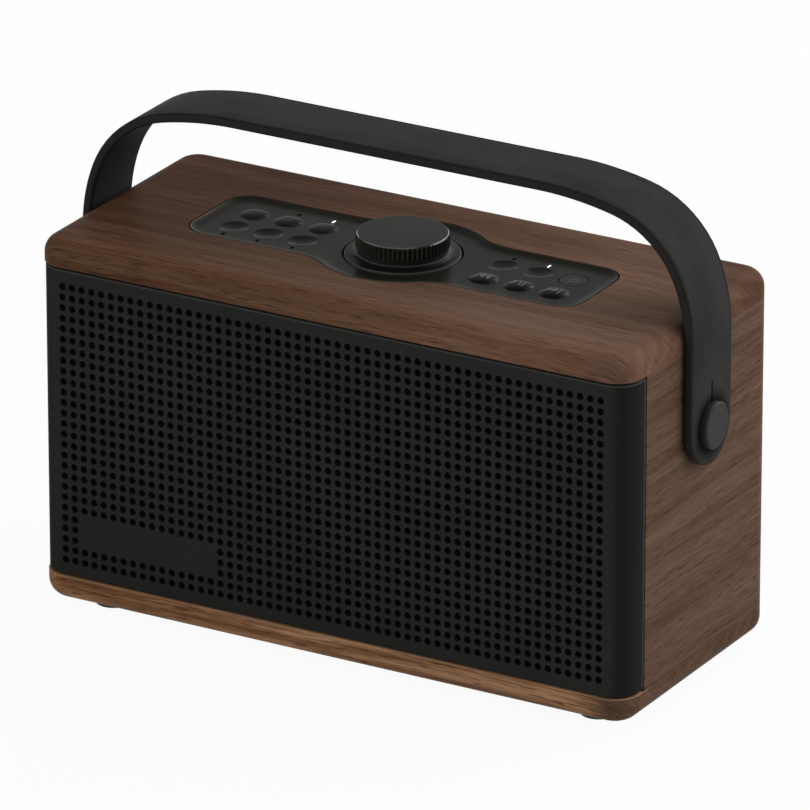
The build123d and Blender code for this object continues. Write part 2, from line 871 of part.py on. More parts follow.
with BuildPart() as main_board:
    with BuildSketch(level(main_z)):
        with Locations((main_x, main_y)):
            Rectangle(main_w, main_d)
        with Locations(*main_places):
            RegularPolygon(main_screw_r + running, 6, mode=Mode.SUBTRACT)
    extrude(amount=board_t)
keep(main_board, "main_board")

with BuildPart() as main_screws:
    with BuildSketch(level(socket_z)):
        with Locations(*main_places):
            RegularPolygon(main_head_r, 6)
    extrude(amount=main_head_h)
    with BuildSketch(level(socket_z)):
        with Locations(*main_places):
            RegularPolygon(main_screw_r, 6)
    extrude(amount=play - board_t - main_lift)
keep(main_screws, "main_board_screws")

socket_back_y = cover_back_y - pocket_depth
with BuildPart() as usb_socket:
    with BuildSketch(facing_front(socket_back_y)):
        with Locations((usb_x, socket_z + usb_h / 2)):
            RectangleRounded(usb_w, usb_h, usb_h / 2 - push)
    extrude(amount=usb_l)
    with BuildSketch(facing_front(socket_back_y)):
        with Locations((usb_x, socket_z + usb_h / 2)):
            RectangleRounded(usb_w - 2 * usb_wall, usb_h - 2 * usb_wall, usb_h / 2 - usb_wall - push)
            Rectangle(usb_tongue_w, usb_tongue_t, mode=Mode.SUBTRACT)
    extrude(amount=usb_depth, mode=Mode.SUBTRACT)
keep(usb_socket, "usb_socket")

with BuildPart() as jack:
    with BuildSketch(facing_front(cover_front_y - play)):
        with Locations((jack_x, socket_z + jack_h / 2)):
            Rectangle(jack_w, jack_h)
    extrude(amount=jack_l)
    with BuildSketch(facing_front(cover_front_y - play)):
        with Locations((jack_x, socket_z + jack_h / 2)):
            Circle(jack_barrel_r)
    extrude(amount=cover_front_y - play - socket_back_y)
    with BuildSketch(facing_front(socket_back_y)):
        with Locations((jack_x, socket_z + jack_h / 2)):
            Circle(jack_bore_r)
    extrude(amount=jack_bore_l, mode=Mode.SUBTRACT)
keep(jack, "aux_socket")

# Battery pack of two cells, held to the bottom board by a clamp
cell_z = floor_z + cell_r
with BuildPart() as battery:
    with BuildSketch(facing_right(battery_x)):
        with Locations((battery_y, cell_z)):
            SlotCenterToCenter(2 * cell_r, 2 * cell_r)
    extrude(amount=battery_l / 2, both=True)
keep(battery, "battery_pack")

with BuildPart() as clamp:
    with BuildSketch(facing_right(battery_x)):
        with Locations((battery_y, cell_z)):
            SlotCenterToCenter(2 * cell_r, 2 * (cell_r + slip + clamp_t))
        with Locations((battery_y, floor_z)):
            Rectangle(4 * (cell_r + clamp_t) + 2 * clamp_foot, clamp_t, align=(Align.CENTER, Align.MIN))
        with Locations((battery_y, cell_z)):
            SlotCenterToCenter(2 * cell_r, 2 * (cell_r + slip), mode=Mode.SUBTRACT)
        with Locations((battery_y, floor_z)):
            Rectangle(battery_l, cell_r, align=(Align.CENTER, Align.MAX), mode=Mode.SUBTRACT)
    extrude(amount=clamp_w / 2, both=True)
keep(clamp, "battery_clamp")

# Aerial mount plate and folded-aerial rest on the rear cover
mount_back_y = cover_back_y + mount_t
with BuildPart() as mount:
    with BuildSketch(facing_front(mount_back_y)):
        with Locations((aerial_x, aerial_z)):
            Circle(mount_r)
            Circle(stem_r + running, mode=Mode.SUBTRACT)
    extrude(amount=mount_t)
keep(mount, "aerial_mount")

with BuildPart() as rest:
    with BuildSketch(facing_right(rest_x)):
        with Locations((cover_back_y, aerial_z - tube_r - play)):
            Rectangle(rest_reach, rest_t, align=(Align.MIN, Align.MAX))
    extrude(amount=rest_w / 2, both=True)
keep(rest, "aerial_rest")

# Turret that swivels on the back, with a tongue and cross pin for the elbow
ear_low = tongue_t / 2 + running
ear_high = ear_low + ear_t
turret_low_y = mount_back_y + running
turret_high_y = turret_low_y + turret_t
stem_end_y = cover_front_y - running - stem_nut_h - stem_tail
with BuildPart() as turret:
    with BuildSketch(facing_front(turret_high_y)):
        with Locations((aerial_x, aerial_z)):
            Circle(turret_r)
    extrude(amount=turret_t)
    with BuildSketch(facing_front(turret_low_y)):
        with Locations((aerial_x, aerial_z)):
            Circle(stem_r)
    extrude(amount=turret_low_y - stem_end_y)
    with BuildSketch(level(aerial_z)):
        with Locations((aerial_x, pin_y)):
            Rectangle(2 * tongue_r, pin_y - turret_high_y, align=(Align.CENTER, Align.MAX))
            Circle(tongue_r)
    extrude(amount=tongue_t / 2, both=True)
    with BuildSketch(level(aerial_z)):
        with Locations((aerial_x, pin_y)):
            Circle(pin_r)
    extrude(amount=ear_high, both=True)
keep(turret, "aerial_turret")

with BuildPart() as stem_nut:
    with BuildSketch(facing_front(cover_front_y - running)):
        with Locations((aerial_x, aerial_z)):
            RegularPolygon(stem_nut_r, 6)
            Circle(stem_r + push, mode=Mode.SUBTRACT)
    extrude(amount=stem_nut_h)
keep(stem_nut, "aerial_nut")

# Elbow: a fork on the turret's pin, with a spigot that the outer tube is pushed onto
with BuildPart() as elbow:
    with BuildSketch(level(aerial_z)):
        with Locations((aerial_x, pin_y)):
            Circle(tongue_r)
            Rectangle(elbow_l, 2 * tongue_r, align=(Align.MAX, Align.CENTER))
            Circle(pin_r + running, mode=Mode.SUBTRACT)
    extrude(amount=ear_high, both=True)
    with BuildSketch(level(aerial_z)):
        with Locations((aerial_x - tongue_r - play, pin_y)):
            Rectangle(4 * tongue_r, 4 * tongue_r, align=(Align.MIN, Align.CENTER))
    extrude(amount=ear_low, both=True, mode=Mode.SUBTRACT)
    with BuildSketch(facing_right(aerial_x - elbow_l)):
        with Locations((pin_y, aerial_z)):
            Circle(spigot_r)
    extrude(amount=-spigot_l)
keep(elbow, "aerial_elbow")

# Telescoping sections, each sliding in the one before
outer_bore_r = tube_r - tube_wall
middle_r = outer_bore_r - 2 * running
middle_bore_r = middle_r - tube_wall
tip_r = middle_bore_r - 2 * running
section_x = aerial_x - elbow_l - spigot_l - play
with BuildPart() as outer_tube:
    with BuildSketch(facing_right(aerial_x - elbow_l)):
        with Locations((pin_y, aerial_z)):
            Circle(tube_r)
            Circle(outer_bore_r, mode=Mode.SUBTRACT)
    extrude(amount=-tube_l)
keep(outer_tube, "aerial_outer_tube")

with BuildPart() as middle_tube:
    with BuildSketch(facing_right(section_x)):
        with Locations((pin_y, aerial_z)):
            Circle(middle_r)
            Circle(middle_bore_r, mode=Mode.SUBTRACT)
    extrude(amount=tube_end_x - tube_step - section_x)
keep(middle_tube, "aerial_middle_tube")

with BuildPart() as tip:
    with BuildSketch(facing_right(section_x)):
        with Locations((pin_y, aerial_z)):
            Circle(tip_r)
    extrude(amount=tube_end_x - tube_step - play - section_x)
    with BuildSketch(facing_right(tube_end_x - tube_step - play)):
        with Locations((pin_y, aerial_z)):
            Circle(bead_r)
    extrude(amount=-bead_l)
    fillet(tip.faces().sort_by(Axis.X)[0].edges(), bead_r / 2)
keep(tip, "aerial_tip")
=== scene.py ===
import json
from math import atan2, cos, hypot, pi, radians, sin, sqrt, tau

import bmesh
import bpy
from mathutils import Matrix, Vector

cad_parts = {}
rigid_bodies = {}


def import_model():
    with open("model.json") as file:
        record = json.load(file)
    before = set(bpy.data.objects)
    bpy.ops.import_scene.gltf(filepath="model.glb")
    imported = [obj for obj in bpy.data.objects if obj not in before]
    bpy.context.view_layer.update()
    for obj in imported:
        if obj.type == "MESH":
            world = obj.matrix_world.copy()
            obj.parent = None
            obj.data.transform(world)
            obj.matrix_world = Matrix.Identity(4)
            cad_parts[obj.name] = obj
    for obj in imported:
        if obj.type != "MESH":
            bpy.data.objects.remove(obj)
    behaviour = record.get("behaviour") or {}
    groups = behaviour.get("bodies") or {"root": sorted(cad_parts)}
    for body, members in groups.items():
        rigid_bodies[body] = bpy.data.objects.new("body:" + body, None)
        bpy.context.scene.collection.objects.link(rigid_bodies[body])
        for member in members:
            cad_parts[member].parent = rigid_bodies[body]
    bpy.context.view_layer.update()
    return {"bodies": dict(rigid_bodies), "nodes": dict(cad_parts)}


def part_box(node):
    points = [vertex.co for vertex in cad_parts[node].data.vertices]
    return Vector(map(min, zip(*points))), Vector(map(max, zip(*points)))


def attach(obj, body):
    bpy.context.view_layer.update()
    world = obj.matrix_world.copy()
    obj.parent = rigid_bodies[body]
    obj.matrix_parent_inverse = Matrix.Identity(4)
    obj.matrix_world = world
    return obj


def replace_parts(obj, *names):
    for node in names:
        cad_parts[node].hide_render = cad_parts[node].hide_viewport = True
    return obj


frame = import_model()

MM = 0.001
RIGHT, BACK, UP = Vector((1, 0, 0)), Vector((0, 1, 0)), Vector((0, 0, 1))

# Camera, at the photograph's viewing angle
VIEW_AZIMUTH = radians(29.8987)
VIEW_ELEVATION = radians(21.977)
VIEW_DISTANCE = 3461.6 * MM
VIEW_TARGET = Vector((18.26, -34.64, 97.31)) * MM
VIEW_LENS = 441.6
VIEW_FILM = 36.0
VIEW_END = 40.0

# Perforated front: round holes on a square pitch, with a bare patch low on the left
SHEET_T = 1.2 * MM
SHEET_CORNER_R = 9.3 * MM
SHEET_EDGE_R = 0.5 * MM
SHEET_GAP = 0.45 * MM
SHEET_TOP_GAP = 0.75 * MM
SHEET_BEND_STEPS = 8
HOLE_PITCH = 4.0 * MM
HOLE_R = 1.4 * MM
HOLE_COLUMNS = 55
HOLE_ROWS = 27
HOLE_SIDES = 12
HOLE_START = radians(135)
HOLE_TOP_DROP = 7.0 * MM
BARE_COLUMNS = range(2, 16)
BARE_ROWS = range(22, 25)

# Strap: outer radius and turn of each bend from the middle down to the stud
STRAP_BENDS = ((130.0 * MM, 13.3), (39.5 * MM, 55.5), (66.0 * MM, 21.2))
STRAP_T = 3.4 * MM
STRAP_EDGE_R = 1.0 * MM
STRAP_EDGE_STEPS = 4
STRAP_BEND_STEPS = 10
STRAP_TIP_STEPS = 16
STRAP_TIP_LIFT = 0.02 * MM
STRAP_TIP_SHARE = 0.04
SLIT_L = 16.0 * MM
SLIT_W = 0.9 * MM
SLIT_STEPS = 12
SLIT_REACH = 3 * STRAP_T

# Knob and its skirt
KNOB_FLUTES = 60
FLUTE_DEPTH = 0.75 * MM
FLUTE_STEPS = 8
KNOB_FOOT = 1.6 * MM
KNOB_FOOT_INSET = 0.6 * MM
KNOB_BEVEL = 0.5 * MM
KNOB_TOP_RING = 2.6 * MM
SKIRT_DROP = 1.0 * MM
SKIRT_STEP = 0.4 * MM
SKIRT_STEPS = 128

# Control panel: a bar with a round bulge, blended by hollow waists, and a dish with a soft lip, whose steps in
# from the outline and down from the rim are in millimetres
PANEL_T = 4.0 * MM
PANEL_GAP_DEPTH = 1.5 * MM
PANEL_GAP_SLOPE = 0.1 * MM
PANEL_HALF_L = 79.0 * MM
PANEL_HALF_W = 20.8 * MM
PANEL_END_R = 9.5 * MM
PANEL_BULGE_R = 31.0 * MM
PANEL_WAIST_R = 19.0 * MM
PANEL_ARC_STEPS = (16, 12, 12)
PANEL_LIP = (
    (0.4, 0.25),
    (0.46, 0.06),
    (0.58, 0.0),
    (0.74, 0.03),
    (1.1, 0.17),
    (1.8, 0.47),
    (2.6, 0.78),
    (3.5, 1.01),
    (4.6, 1.10),
)
DRILL_REACH = 5.0 * MM
DRILL_STEPS = 48
WELL_R = 21.5 * MM
WELL_T = 0.8 * MM
WELL_DROP = 0.3 * MM
WELL_STEPS = 96

# Buttons and their marks
BUTTON_HOLE_R = 5.5 * MM
BUTTON_R = 5.46 * MM
POWER_R = 5.15 * MM
BUTTON_CROWN = 1.1 * MM
BUTTON_DIMPLE = 1.0 * MM
BUTTON_SIDE = 1.6 * MM
BUTTON_STEPS = 48
BUTTON_RINGS = (0.12, 0.25, 0.4, 0.55, 0.68, 0.79, 0.88, 0.94, 0.98, 1.0)
MARK_RISE = 0.22 * MM
FLAT_MARK_RISE = 0.03 * MM
MARK_SINK = 0.25 * MM
ARROW_W = 2.2 * MM
ARROW_H = 4.2 * MM
BAR_W = 0.65 * MM
POWER_RING_R = (1.25 * MM, 1.55 * MM)
POWER_RING_GAP = radians(35)
POWER_RING_STEPS = 24
POWER_BAR_W = 0.3 * MM
POWER_BAR_H = 1.6 * MM
POWER_BAR_Y = 1.3 * MM

# Light pipes
LENS_RISE = 0.03 * MM
LENS_EDGE = 0.1 * MM
LENS_TRIM = 0.25 * MM
LENS_STEPS = 16
DARK_JOINT = 0.2 * MM

# Screws
SHANK_L = 2.0 * MM
SHANK_R = 1.4 * MM
CROSS_ARM = 1.55 * MM
CROSS_HALF_W = 0.42 * MM
CROSS_CORE_R = 1.4 * CROSS_HALF_W
CROSS_SINK = 0.9 * MM
SCREW_STEPS = 64
COVER_HEAD_H = 1.4 * MM
FOOT_HEAD_H = 1.6 * MM

# Stage, in metres and shares of white
FLOOR_HALF = 6.0
FLOOR_WHITE = 0.95
FLOOR_GREY = 0.82
AMBIENT = 0.24
WHITE = (1.0, 1.0, 1.0, 1.0)

# Where the radio's own solids lie, in metres
sheet_low, sheet_high = (Vector(corner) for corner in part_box("front_grille"))
strap_low, strap_high = (Vector(corner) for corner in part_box("handle_strap"))
strap_y = (strap_low.y + strap_high.y) / 2
strap_half_w = (strap_high.y - strap_low.y) / 2
stud_z = strap_low.z + strap_half_w
knob_low, knob_high = (Vector(corner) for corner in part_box("knob_cap"))
knob_mid = (knob_low + knob_high) / 2
knob_r = (knob_high.x - knob_low.x) / 2
skirt_low, skirt_high = (Vector(corner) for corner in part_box("knob_skirt"))
skirt_r = (skirt_high.x - skirt_low.x) / 2
panel_high = Vector(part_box("control_panel")[1])
dish_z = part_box("lit_light_pipes")[1][2]
board_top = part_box("bottom_board")[1][2]


# Materials


class Reading:
    """A node's output that takes part in Python arithmetic, each step of which adds a Math node."""

    def __init__(self, finish, socket):
        self.finish = finish
        self.socket = socket

    def step(self, operation, *values):
        """A Math node that starts from this reading."""
        return self.finish.math(operation, self, *values)

    def __add__(self, other):
        return self.step("ADD", other)

    __radd__ = __add__

    def __sub__(self, other):
        return self.step("SUBTRACT", other)

    def __rsub__(self, other):
        return self.finish.math("SUBTRACT", other, self)

    def __mul__(self, other):
        return self.step("MULTIPLY", other)

    __rmul__ = __mul__

    def __truediv__(self, other):
        return self.step("DIVIDE", other)

    def __pow__(self, other):
        return self.step("POWER", other)


class Finish:
    """A material whose nodes are made one call at a time round a Principled shader."""

    def __init__(self, name):
        self.material = bpy.data.materials.new(name)
        self.material.use_nodes = True
        self.tree = self.material.node_tree
        self.shader = self.tree.nodes["Principled BSDF"]

    def feed(self, socket, value):
        """Links a reading into a socket, or sets the socket's own value."""
        if isinstance(value, Reading):
            self.tree.links.new(value.socket, socket)
        else:
            socket.default_value = value

    def node(self, kind, settings=None, inputs=None, output=0):
        """Adds a node: its settings first, then the values or links of its sockets."""
        made = self.tree.nodes.new(kind)
        for key, value in (settings or {}).items():
            if key == "stops":
                ramp = made.color_ramp
                while len(ramp.elements) < len(value):
                    ramp.elements.new(1.0)
                for element, (position, colour) in zip(ramp.elements, value):
                    element.position = position
                    element.color = (*colour, 1.0)
            else:
                setattr(made, key, value)
        for key, value in (inputs or {}).items():
            self.feed(made.inputs[key], value)
        return Reading(self, made.outputs[output])

    def math(self, operation, *values):
        """A Math node of readings and numbers."""
        return self.node("ShaderNodeMath", {"operation": operation}, dict(enumerate(values)))

    def place(self):
        """The surface point's X, Y and Z in millimetres, in the radio's own frame."""
        point = self.node("ShaderNodeTexCoord", output="Object")
        return [self.node("ShaderNodeSeparateXYZ", None, {0: point}, axis) / MM for axis in range(3)]

    def scaled(self, place, size):
        """A place as a vector in grains, each size millimetres long: one number, or one for each axis."""
        sizes = size if isinstance(size, tuple) else (size, size, size)
        return self.node("ShaderNodeCombineXYZ", None, {axis: place[axis] / sizes[axis] for axis in range(3)})

    def noise(self, place, size, detail=2.0, roughness=0.5):
        """Soft noise about a half."""
        inputs = {"Vector": self.scaled(place, size), "Scale": 1.0, "Detail": detail, "Roughness": roughness}
        return self.node("ShaderNodeTexNoise", None, inputs)

    def cells(self, place, size, feature="F1"):
        """How far a point lies from the middle, or the edge, of its cell."""
        inputs = {"Vector": self.scaled(place, size), "Scale": 1.0}
        return self.node("ShaderNodeTexVoronoi", {"feature": feature}, inputs)

    def fade(self, value, low, high):
        """0 below low, 1 above high and a smooth rise between."""
        inputs = {"Value": value, "From Min": low, "From Max": high}
        return self.node("ShaderNodeMapRange", {"interpolation_type": "SMOOTHSTEP"}, inputs)

    def ramp(self, value, *stops):
        """A colour from stops, each a position and a shade."""
        return self.node("ShaderNodeValToRGB", {"stops": stops}, {0: value})

    def mix(self, share, first, second):
        """A colour part of the way from first to second; each is a reading or three numbers."""
        first, second = (c if isinstance(c, Reading) else (*c, 1.0) for c in (first, second))
        return self.node("ShaderNodeMix", {"data_type": "RGBA"}, {0: share, 6: first, 7: second}, 2)

    def bump(self, height, strength, depth=0.1 * MM):
        """The surface's direction, tipped by a height."""
        inputs = {"Height": height, "Strength": strength, "Distance": depth}
        return self.node("ShaderNodeBump", None, inputs, "Normal")

    def done(self, colour, roughness, normal=None, **others):
        """Feeds the shader and gives back the finished material."""
        self.feed(self.shader.inputs["Base Color"], colour if isinstance(colour, Reading) else (*colour, 1.0))
        self.feed(self.shader.inputs["Roughness"], roughness)
        if normal is not None:
            self.feed(self.shader.inputs["Normal"], normal)
        for key, value in others.items():
            self.feed(self.shader.inputs[key.replace("_", " ")], value)
        return self.material


def times(tone, factor):
    """A tone made lighter or darker."""
    return [part * factor for part in tone]


# Walnut's shades, and the sizes of its figure in millimetres: along the grain, across it and deep
WALNUT = (
    (0.05, (0.045, 0.0195, 0.0102)),
    (0.38, (0.089, 0.0445, 0.0260)),
    (0.62, (0.126, 0.0705, 0.0445)),
    (0.95, (0.190, 0.1120, 0.0770)),
)
# The colour of the painted highlight along an upper lip
WALNUT_PAINTED_LIP = (0.62, 0.38, 0.22)
SWAY_MM = (210, 70, 70)
SWAY_REACH_MM = 12
DRIFT_MM = (130, 45, 45)
DRIFT_START_MM = 949
DRIFT_REACH_MM = 10
BROAD_MM = (190, 16, 30)
STREAK_MM = (60, 1.5, 7)
FIBRE_MM = (9, 0.5, 5)
PORE_MM = (9, 0.55, 5)
RING_MM = 6.0
END_GRAIN_MM = (104, 117)
FRONT_SHADE_MM = (44, 56)
FRONT_CORNER_MM = (98, 114)
# How far back from the front the painted highlight on a lip reaches
PAINTED_LIP_FRONT_MM = (38, 42)
# A painted gradient of light over a board: where it folds back towards the right-hand end, its floor and its
# slant towards the front
LIGHT_GRADIENT_FOLD_MM = 140
LIGHT_GRADIENT_FLOOR_MM = -75
LIGHT_GRADIENT_SLANT = 1.1


def walnut(name, grain, pith, shift, tint, front_tint, painted_light_lean=0.0, figure=1.0, tilt=0.5, painted_lip_mm=None):
    """Oiled walnut as a solid log: rings about a pith, streaks in tilted sheets, fibres and pores.

    The front has another shade, which ends before the right-hand corner. An upper edge may have a painted
    highlight along its lip.
    """
    wood = Finish(name)
    x, y, z = wood.place()
    lengthwise = grain == "X"
    run, side = (x, y) if lengthwise else (y, x)
    wander = 1.0 if lengthwise else 0.35
    run = run + shift
    sway = wood.noise((run, side, z), SWAY_MM) - 0.5
    drift = wood.noise((run + DRIFT_START_MM, side, z), DRIFT_MM) - 0.5
    across = side + SWAY_REACH_MM * wander * sway - pith[0]
    above = z + DRIFT_REACH_MM * wander * drift - pith[1]
    sheet, depth = (across + tilt * above, above) if lengthwise else (above + tilt * across, across)
    place = run, sheet, depth

    turn = wood.math("FRACT", (across * across + above * above) ** 0.5 / RING_MM)
    late = wood.math("SINE", turn * turn * pi)
    broad = wood.noise(place, BROAD_MM) - 0.5
    streak = wood.noise(place, STREAK_MM, 4.0, 0.6) - 0.5
    fibre = wood.noise(place, FIBRE_MM) - 0.5
    pore = wood.fade(wood.noise(place, PORE_MM, 1.0), 0.60, 0.70)

    # Streaks are weaker on the end grain, and a painted gradient of light makes the shade lean over the board
    ends = wood.fade(wood.math("ABSOLUTE", x), *END_GRAIN_MM) if lengthwise else 0.0
    strong, weak = 0.75 * figure, 0.4
    tone = 0.54 + 0.35 * broad + (strong - ends * (strong - weak)) * streak + 0.6 * fibre - 0.12 * late
    folded = wood.math("MINIMUM", x, LIGHT_GRADIENT_FOLD_MM - x)
    painted_light_gradient = wood.math("MAXIMUM", folded, LIGHT_GRADIENT_FLOOR_MM) - LIGHT_GRADIENT_SLANT * y

    def shades(share, slant):
        """The walnut's shades with a tint, leaning with the painted gradient of light."""
        stops = [(at, tuple(part * lift for part, lift in zip(shade, share))) for at, shade in WALNUT]
        return wood.ramp(tone + painted_light_gradient * (slant / 100), *stops)

    # Another shade at the front; on the bottom board it is partly a paler board and partly painted light
    front = wood.fade(-1 * y + 22 * drift + 8 * streak, *FRONT_SHADE_MM)
    front = front * (1 - wood.fade(x + 6 * sway, *FRONT_CORNER_MM))
    colour = wood.mix(front, shades(tint, painted_light_lean), shades(front_tint, painted_light_lean / 2))
    colour = wood.mix(pore * 0.6, colour, WALNUT[0][1])
    # A painted highlight along the upper lip, lifting it out of the sheet's shade
    if painted_lip_mm:
        painted_lip = wood.fade(z, painted_lip_mm - 0.3, painted_lip_mm - 0.1) * wood.fade(-1 * y, *PAINTED_LIP_FRONT_MM)
        colour = wood.mix(0.45 * painted_lip, colour, WALNUT_PAINTED_LIP)
    roughness = 0.42 + 0.25 * streak + 0.12 * pore
    normal = wood.bump(fibre * 0.6 + streak * 0.4 - pore * 0.5, 0.2, 0.3 * MM)
    return wood.done(colour, roughness, normal, Specular_IOR_Level=0.012)


def moulding(name, tone, roughness, grain=0.35, relief=0.12, shine=0.04, painted_highlight=None, lift=1.0, gloss=None):
    """Black moulded plastic with a fine grain and uneven gloss, with a painted highlight where a mask is
    given, coated where glossy.
    """
    skin = Finish(name)
    place = skin.place()
    cloud = skin.noise(place, 22, 3.0)
    speck = skin.noise(place, grain)
    colour = skin.mix(skin.fade(cloud + 0.3 * speck, 0.45, 0.85), times(tone, 0.88), times(tone, 1.14))
    if painted_highlight:
        # A painted highlight, lift times the tone, where the mask is given
        colour = skin.mix(painted_highlight(skin, *place), colour, times(tone, lift))
    normal = skin.bump(speck, relief)
    coat = {"Coat_Weight": gloss(skin, *place), "Coat_Roughness": 0.15, "Coat_IOR": 1.6} if gloss else {}
    return skin.done(colour, roughness - 0.05 + 0.1 * cloud, normal, Specular_IOR_Level=shine, **coat)


def powder_coat(name, tone, roughness, shine=0.04, sheet_mm=None):
    """Matt black powder coat: a fine orange peel with scattered grains.

    On a sheet, whose sizes say how far out it bends, how far back it ends and how high it reaches, the coat
    has painted shade round the bends and painted highlights along the ends and the upper edge.
    """
    coat = Finish(name)
    place = coat.place()
    peel = coat.noise(place, 0.8, 3.0)
    grain = coat.cells(place, 0.35)
    cloud = coat.noise(place, 40)
    colour = coat.mix(coat.fade(peel + 0.4 * cloud, 0.5, 0.9), times(tone, 0.9), times(tone, 1.15))
    if sheet_mm:
        x, y, z = place
        bend_mm, end_mm, top_mm = sheet_mm
        # Painted shade round the bends, and painted highlights along the ends and the upper edge
        bend = coat.fade(coat.math("ABSOLUTE", x), bend_mm, bend_mm + 4)
        colour = coat.mix(bend, colour, times(tone, 0.6))
        colour = coat.mix(coat.fade(y, end_mm - 1.2, end_mm - 0.4), colour, times(tone, 2.2))
        colour = coat.mix(coat.fade(z, top_mm - 1.55, top_mm - 1.2), colour, times(tone, 2.0))
    normal = coat.bump(peel + 0.4 * grain, 0.12)
    return coat.done(colour, roughness + 0.08 * (cloud - 0.5), normal, Specular_IOR_Level=shine)


PEBBLE_MM = 0.9
SHOULDER_MM = (125, 150)
# Where the painted shadow round each stud fades out, in millimetres
STUD_SHADOW_MM = (8.6, 14.0)


def strap_leather(name, tone):
    """Smooth matt strap leather with a faint pebble and creases.

    It is darker where it turns to its edges over the shoulders, partly edge paint and partly painted shade,
    and has a painted shadow round each stud.
    """
    hide = Finish(name)
    place = x, y, z = hide.place()
    bend = hide.noise(place, 5)
    pebble = hide.cells([part + PEBBLE_MM * bend for part in place], PEBBLE_MM)
    cloud = hide.noise(place, (30, 12, 30), 3.0)
    crease = hide.noise(place, (1.2, 7, 1.2), 3.0)
    colour = hide.mix(hide.fade(cloud + 0.2 * pebble, 0.35, 0.8), times(tone, 0.85), times(tone, 1.15))

    edge_mm = strap_half_w / MM
    across, above = y - strap_y / MM, z - stud_z / MM
    reach = hide.math("ABSOLUTE", across)
    # Darker edges over the shoulders: partly edge paint, partly painted shade
    edge_paint_and_shade = hide.fade(reach, edge_mm - 2.6, edge_mm - 0.7) * hide.fade(z, *SHOULDER_MM)
    colour = hide.mix(edge_paint_and_shade, colour, times(tone, 0.55))
    colour = hide.mix(hide.fade(reach, edge_mm - 0.3, edge_mm - 0.1), colour, times(tone, 0.95))
    # A painted shadow of each stud on the strap
    painted_stud_shadow = 1 - hide.fade((across * across + above * above) ** 0.5, *STUD_SHADOW_MM)
    colour = hide.mix(0.85 * painted_stud_shadow, colour, times(tone, 0.1))
    normal = hide.bump(pebble * 0.6 + crease * 0.4, 0.08, 0.2 * MM)
    return hide.done(colour, 0.50 + 0.14 * (cloud - 0.5), normal, Specular_IOR_Level=0.004)


THREAD_MM = 0.7


def weave(name, tone):
    """Thin acoustic cloth, plain woven."""
    cloth = Finish(name)
    x, y, z = cloth.place()
    warp = cloth.math("SINE", x * (tau / THREAD_MM))
    weft = cloth.math("SINE", z * (tau / THREAD_MM))
    thread = cloth.fade(warp * weft, -1.0, 1.0)
    colour = cloth.mix(thread, times(tone, 0.6), tone)
    return cloth.done(colour, 0.9, cloth.bump(thread, 0.4), Specular_IOR_Level=0.05)


MARK_L_MM = 30
MARK_W_MM = 0.15


def plated(name, tone, roughness, brushed):
    """Plated metal with faint drawing marks along one axis."""
    metal = Finish(name)
    place = metal.place()
    mark = metal.noise(place, tuple(MARK_L_MM if axis == brushed else MARK_W_MM for axis in range(3)), 3.0)
    cloud = metal.noise(place, 18)
    colour = metal.mix(metal.fade(mark, 0.3, 0.7), times(tone, 0.93), tone)
    roughness = roughness + 0.10 * (cloud - 0.5) + 0.06 * mark
    return metal.done(colour, roughness, metal.bump(mark, 0.03), Metallic=1.0)


def grained(name, tone, size, roughness, contrast, relief=0.2):
    """A dull speckled surface for raw wood, rubber, paper, ferrite and a battery's sleeve."""
    stuff = Finish(name)
    speck = stuff.noise(stuff.place(), size, 4.0, 0.6)
    colour = stuff.mix(stuff.fade(speck, 0.3, 0.7), times(tone, 1 - contrast), times(tone, 1 + contrast))
    return stuff.done(colour, roughness + 0.1 * (speck - 0.5), stuff.bump(speck, relief))


def circuit_board(name, mask, copper):
    """Solder mask with paler copper tracks under it."""
    board = Finish(name)
    lane = board.cells(board.place(), 5.0, "DISTANCE_TO_EDGE")
    track = 1 - board.fade(lane, 0.04, 0.09)
    colour = board.mix(track, mask, copper)
    return board.done(colour, 0.35 + 0.1 * track, board.bump(track, 0.2))


def lamp_lens(name, tone, glow):
    """The end of a light pipe, slightly uneven, lit or dark."""
    lens = Finish(name)
    cloud = lens.noise(lens.place(), 0.6)
    colour = lens.mix(cloud, times(tone, 0.9), tone)
    light = lens.mix(cloud, (0.92, 0.95, 1.0), (1.0, 1.0, 1.0))
    settings = {"Emission_Color": light, "Emission_Strength": glow, "Specular_IOR_Level": 0.0}
    return lens.done(colour, 0.5 + 0.1 * cloud, **settings)


# Where the mouldings get painted highlights or are glossy, in millimetres
axis_x, axis_y = knob_mid.x / MM, knob_mid.y / MM
grip_mm, grip_top_mm = knob_r / MM, knob_high.z / MM
skirt_mm = skirt_r / MM
rim_mm = panel_high.z / MM


def from_axis(x, y):
    """How far a point lies from the knob's axis."""
    return ((x - axis_x) * (x - axis_x) + (y - axis_y) * (y - axis_y)) ** 0.5


def ridges(skin, x, y, z):
    """The crests between the knob's flutes, which get a painted highlight."""
    return skin.fade(from_axis(x, y), grip_mm - 0.75, grip_mm - 0.15)


def knob_rim(skin, x, y, z):
    """The smooth bevel over the knob's flutes."""
    above = skin.fade(z, grip_top_mm - 0.38, grip_top_mm - 0.3)
    return above * skin.fade(from_axis(x, y), grip_mm - 0.82, grip_mm - 0.72)


def skirt_lips(skin, x, y, z):
    """The skirt's outer lip and the edge of its step, which get a painted highlight."""
    reach = from_axis(x, y)
    outer = skin.fade(reach, skirt_mm - 0.5, skirt_mm - 0.3)
    return outer + 1 - skin.fade(reach, grip_mm + 0.35, grip_mm + 0.55)


def front_rim(skin, x, y, z):
    """The panel's rim, all but its back, which gets a painted highlight."""
    return skin.fade(z, rim_mm - 0.3, rim_mm - 0.08) * (1 - skin.fade(y, axis_y - 4, axis_y + 14))


# Where the perforated sheet's bends start to get painted shade, and where it ends towards the back and how
# high it reaches, which get painted highlights
PAINTED_BEND_SHADE_MM = 7.5
sheet_mm = (sheet_high.x / MM - PAINTED_BEND_SHADE_MM, sheet_high.y / MM, sheet_high.z / MM)
board_top_mm = board_top / MM

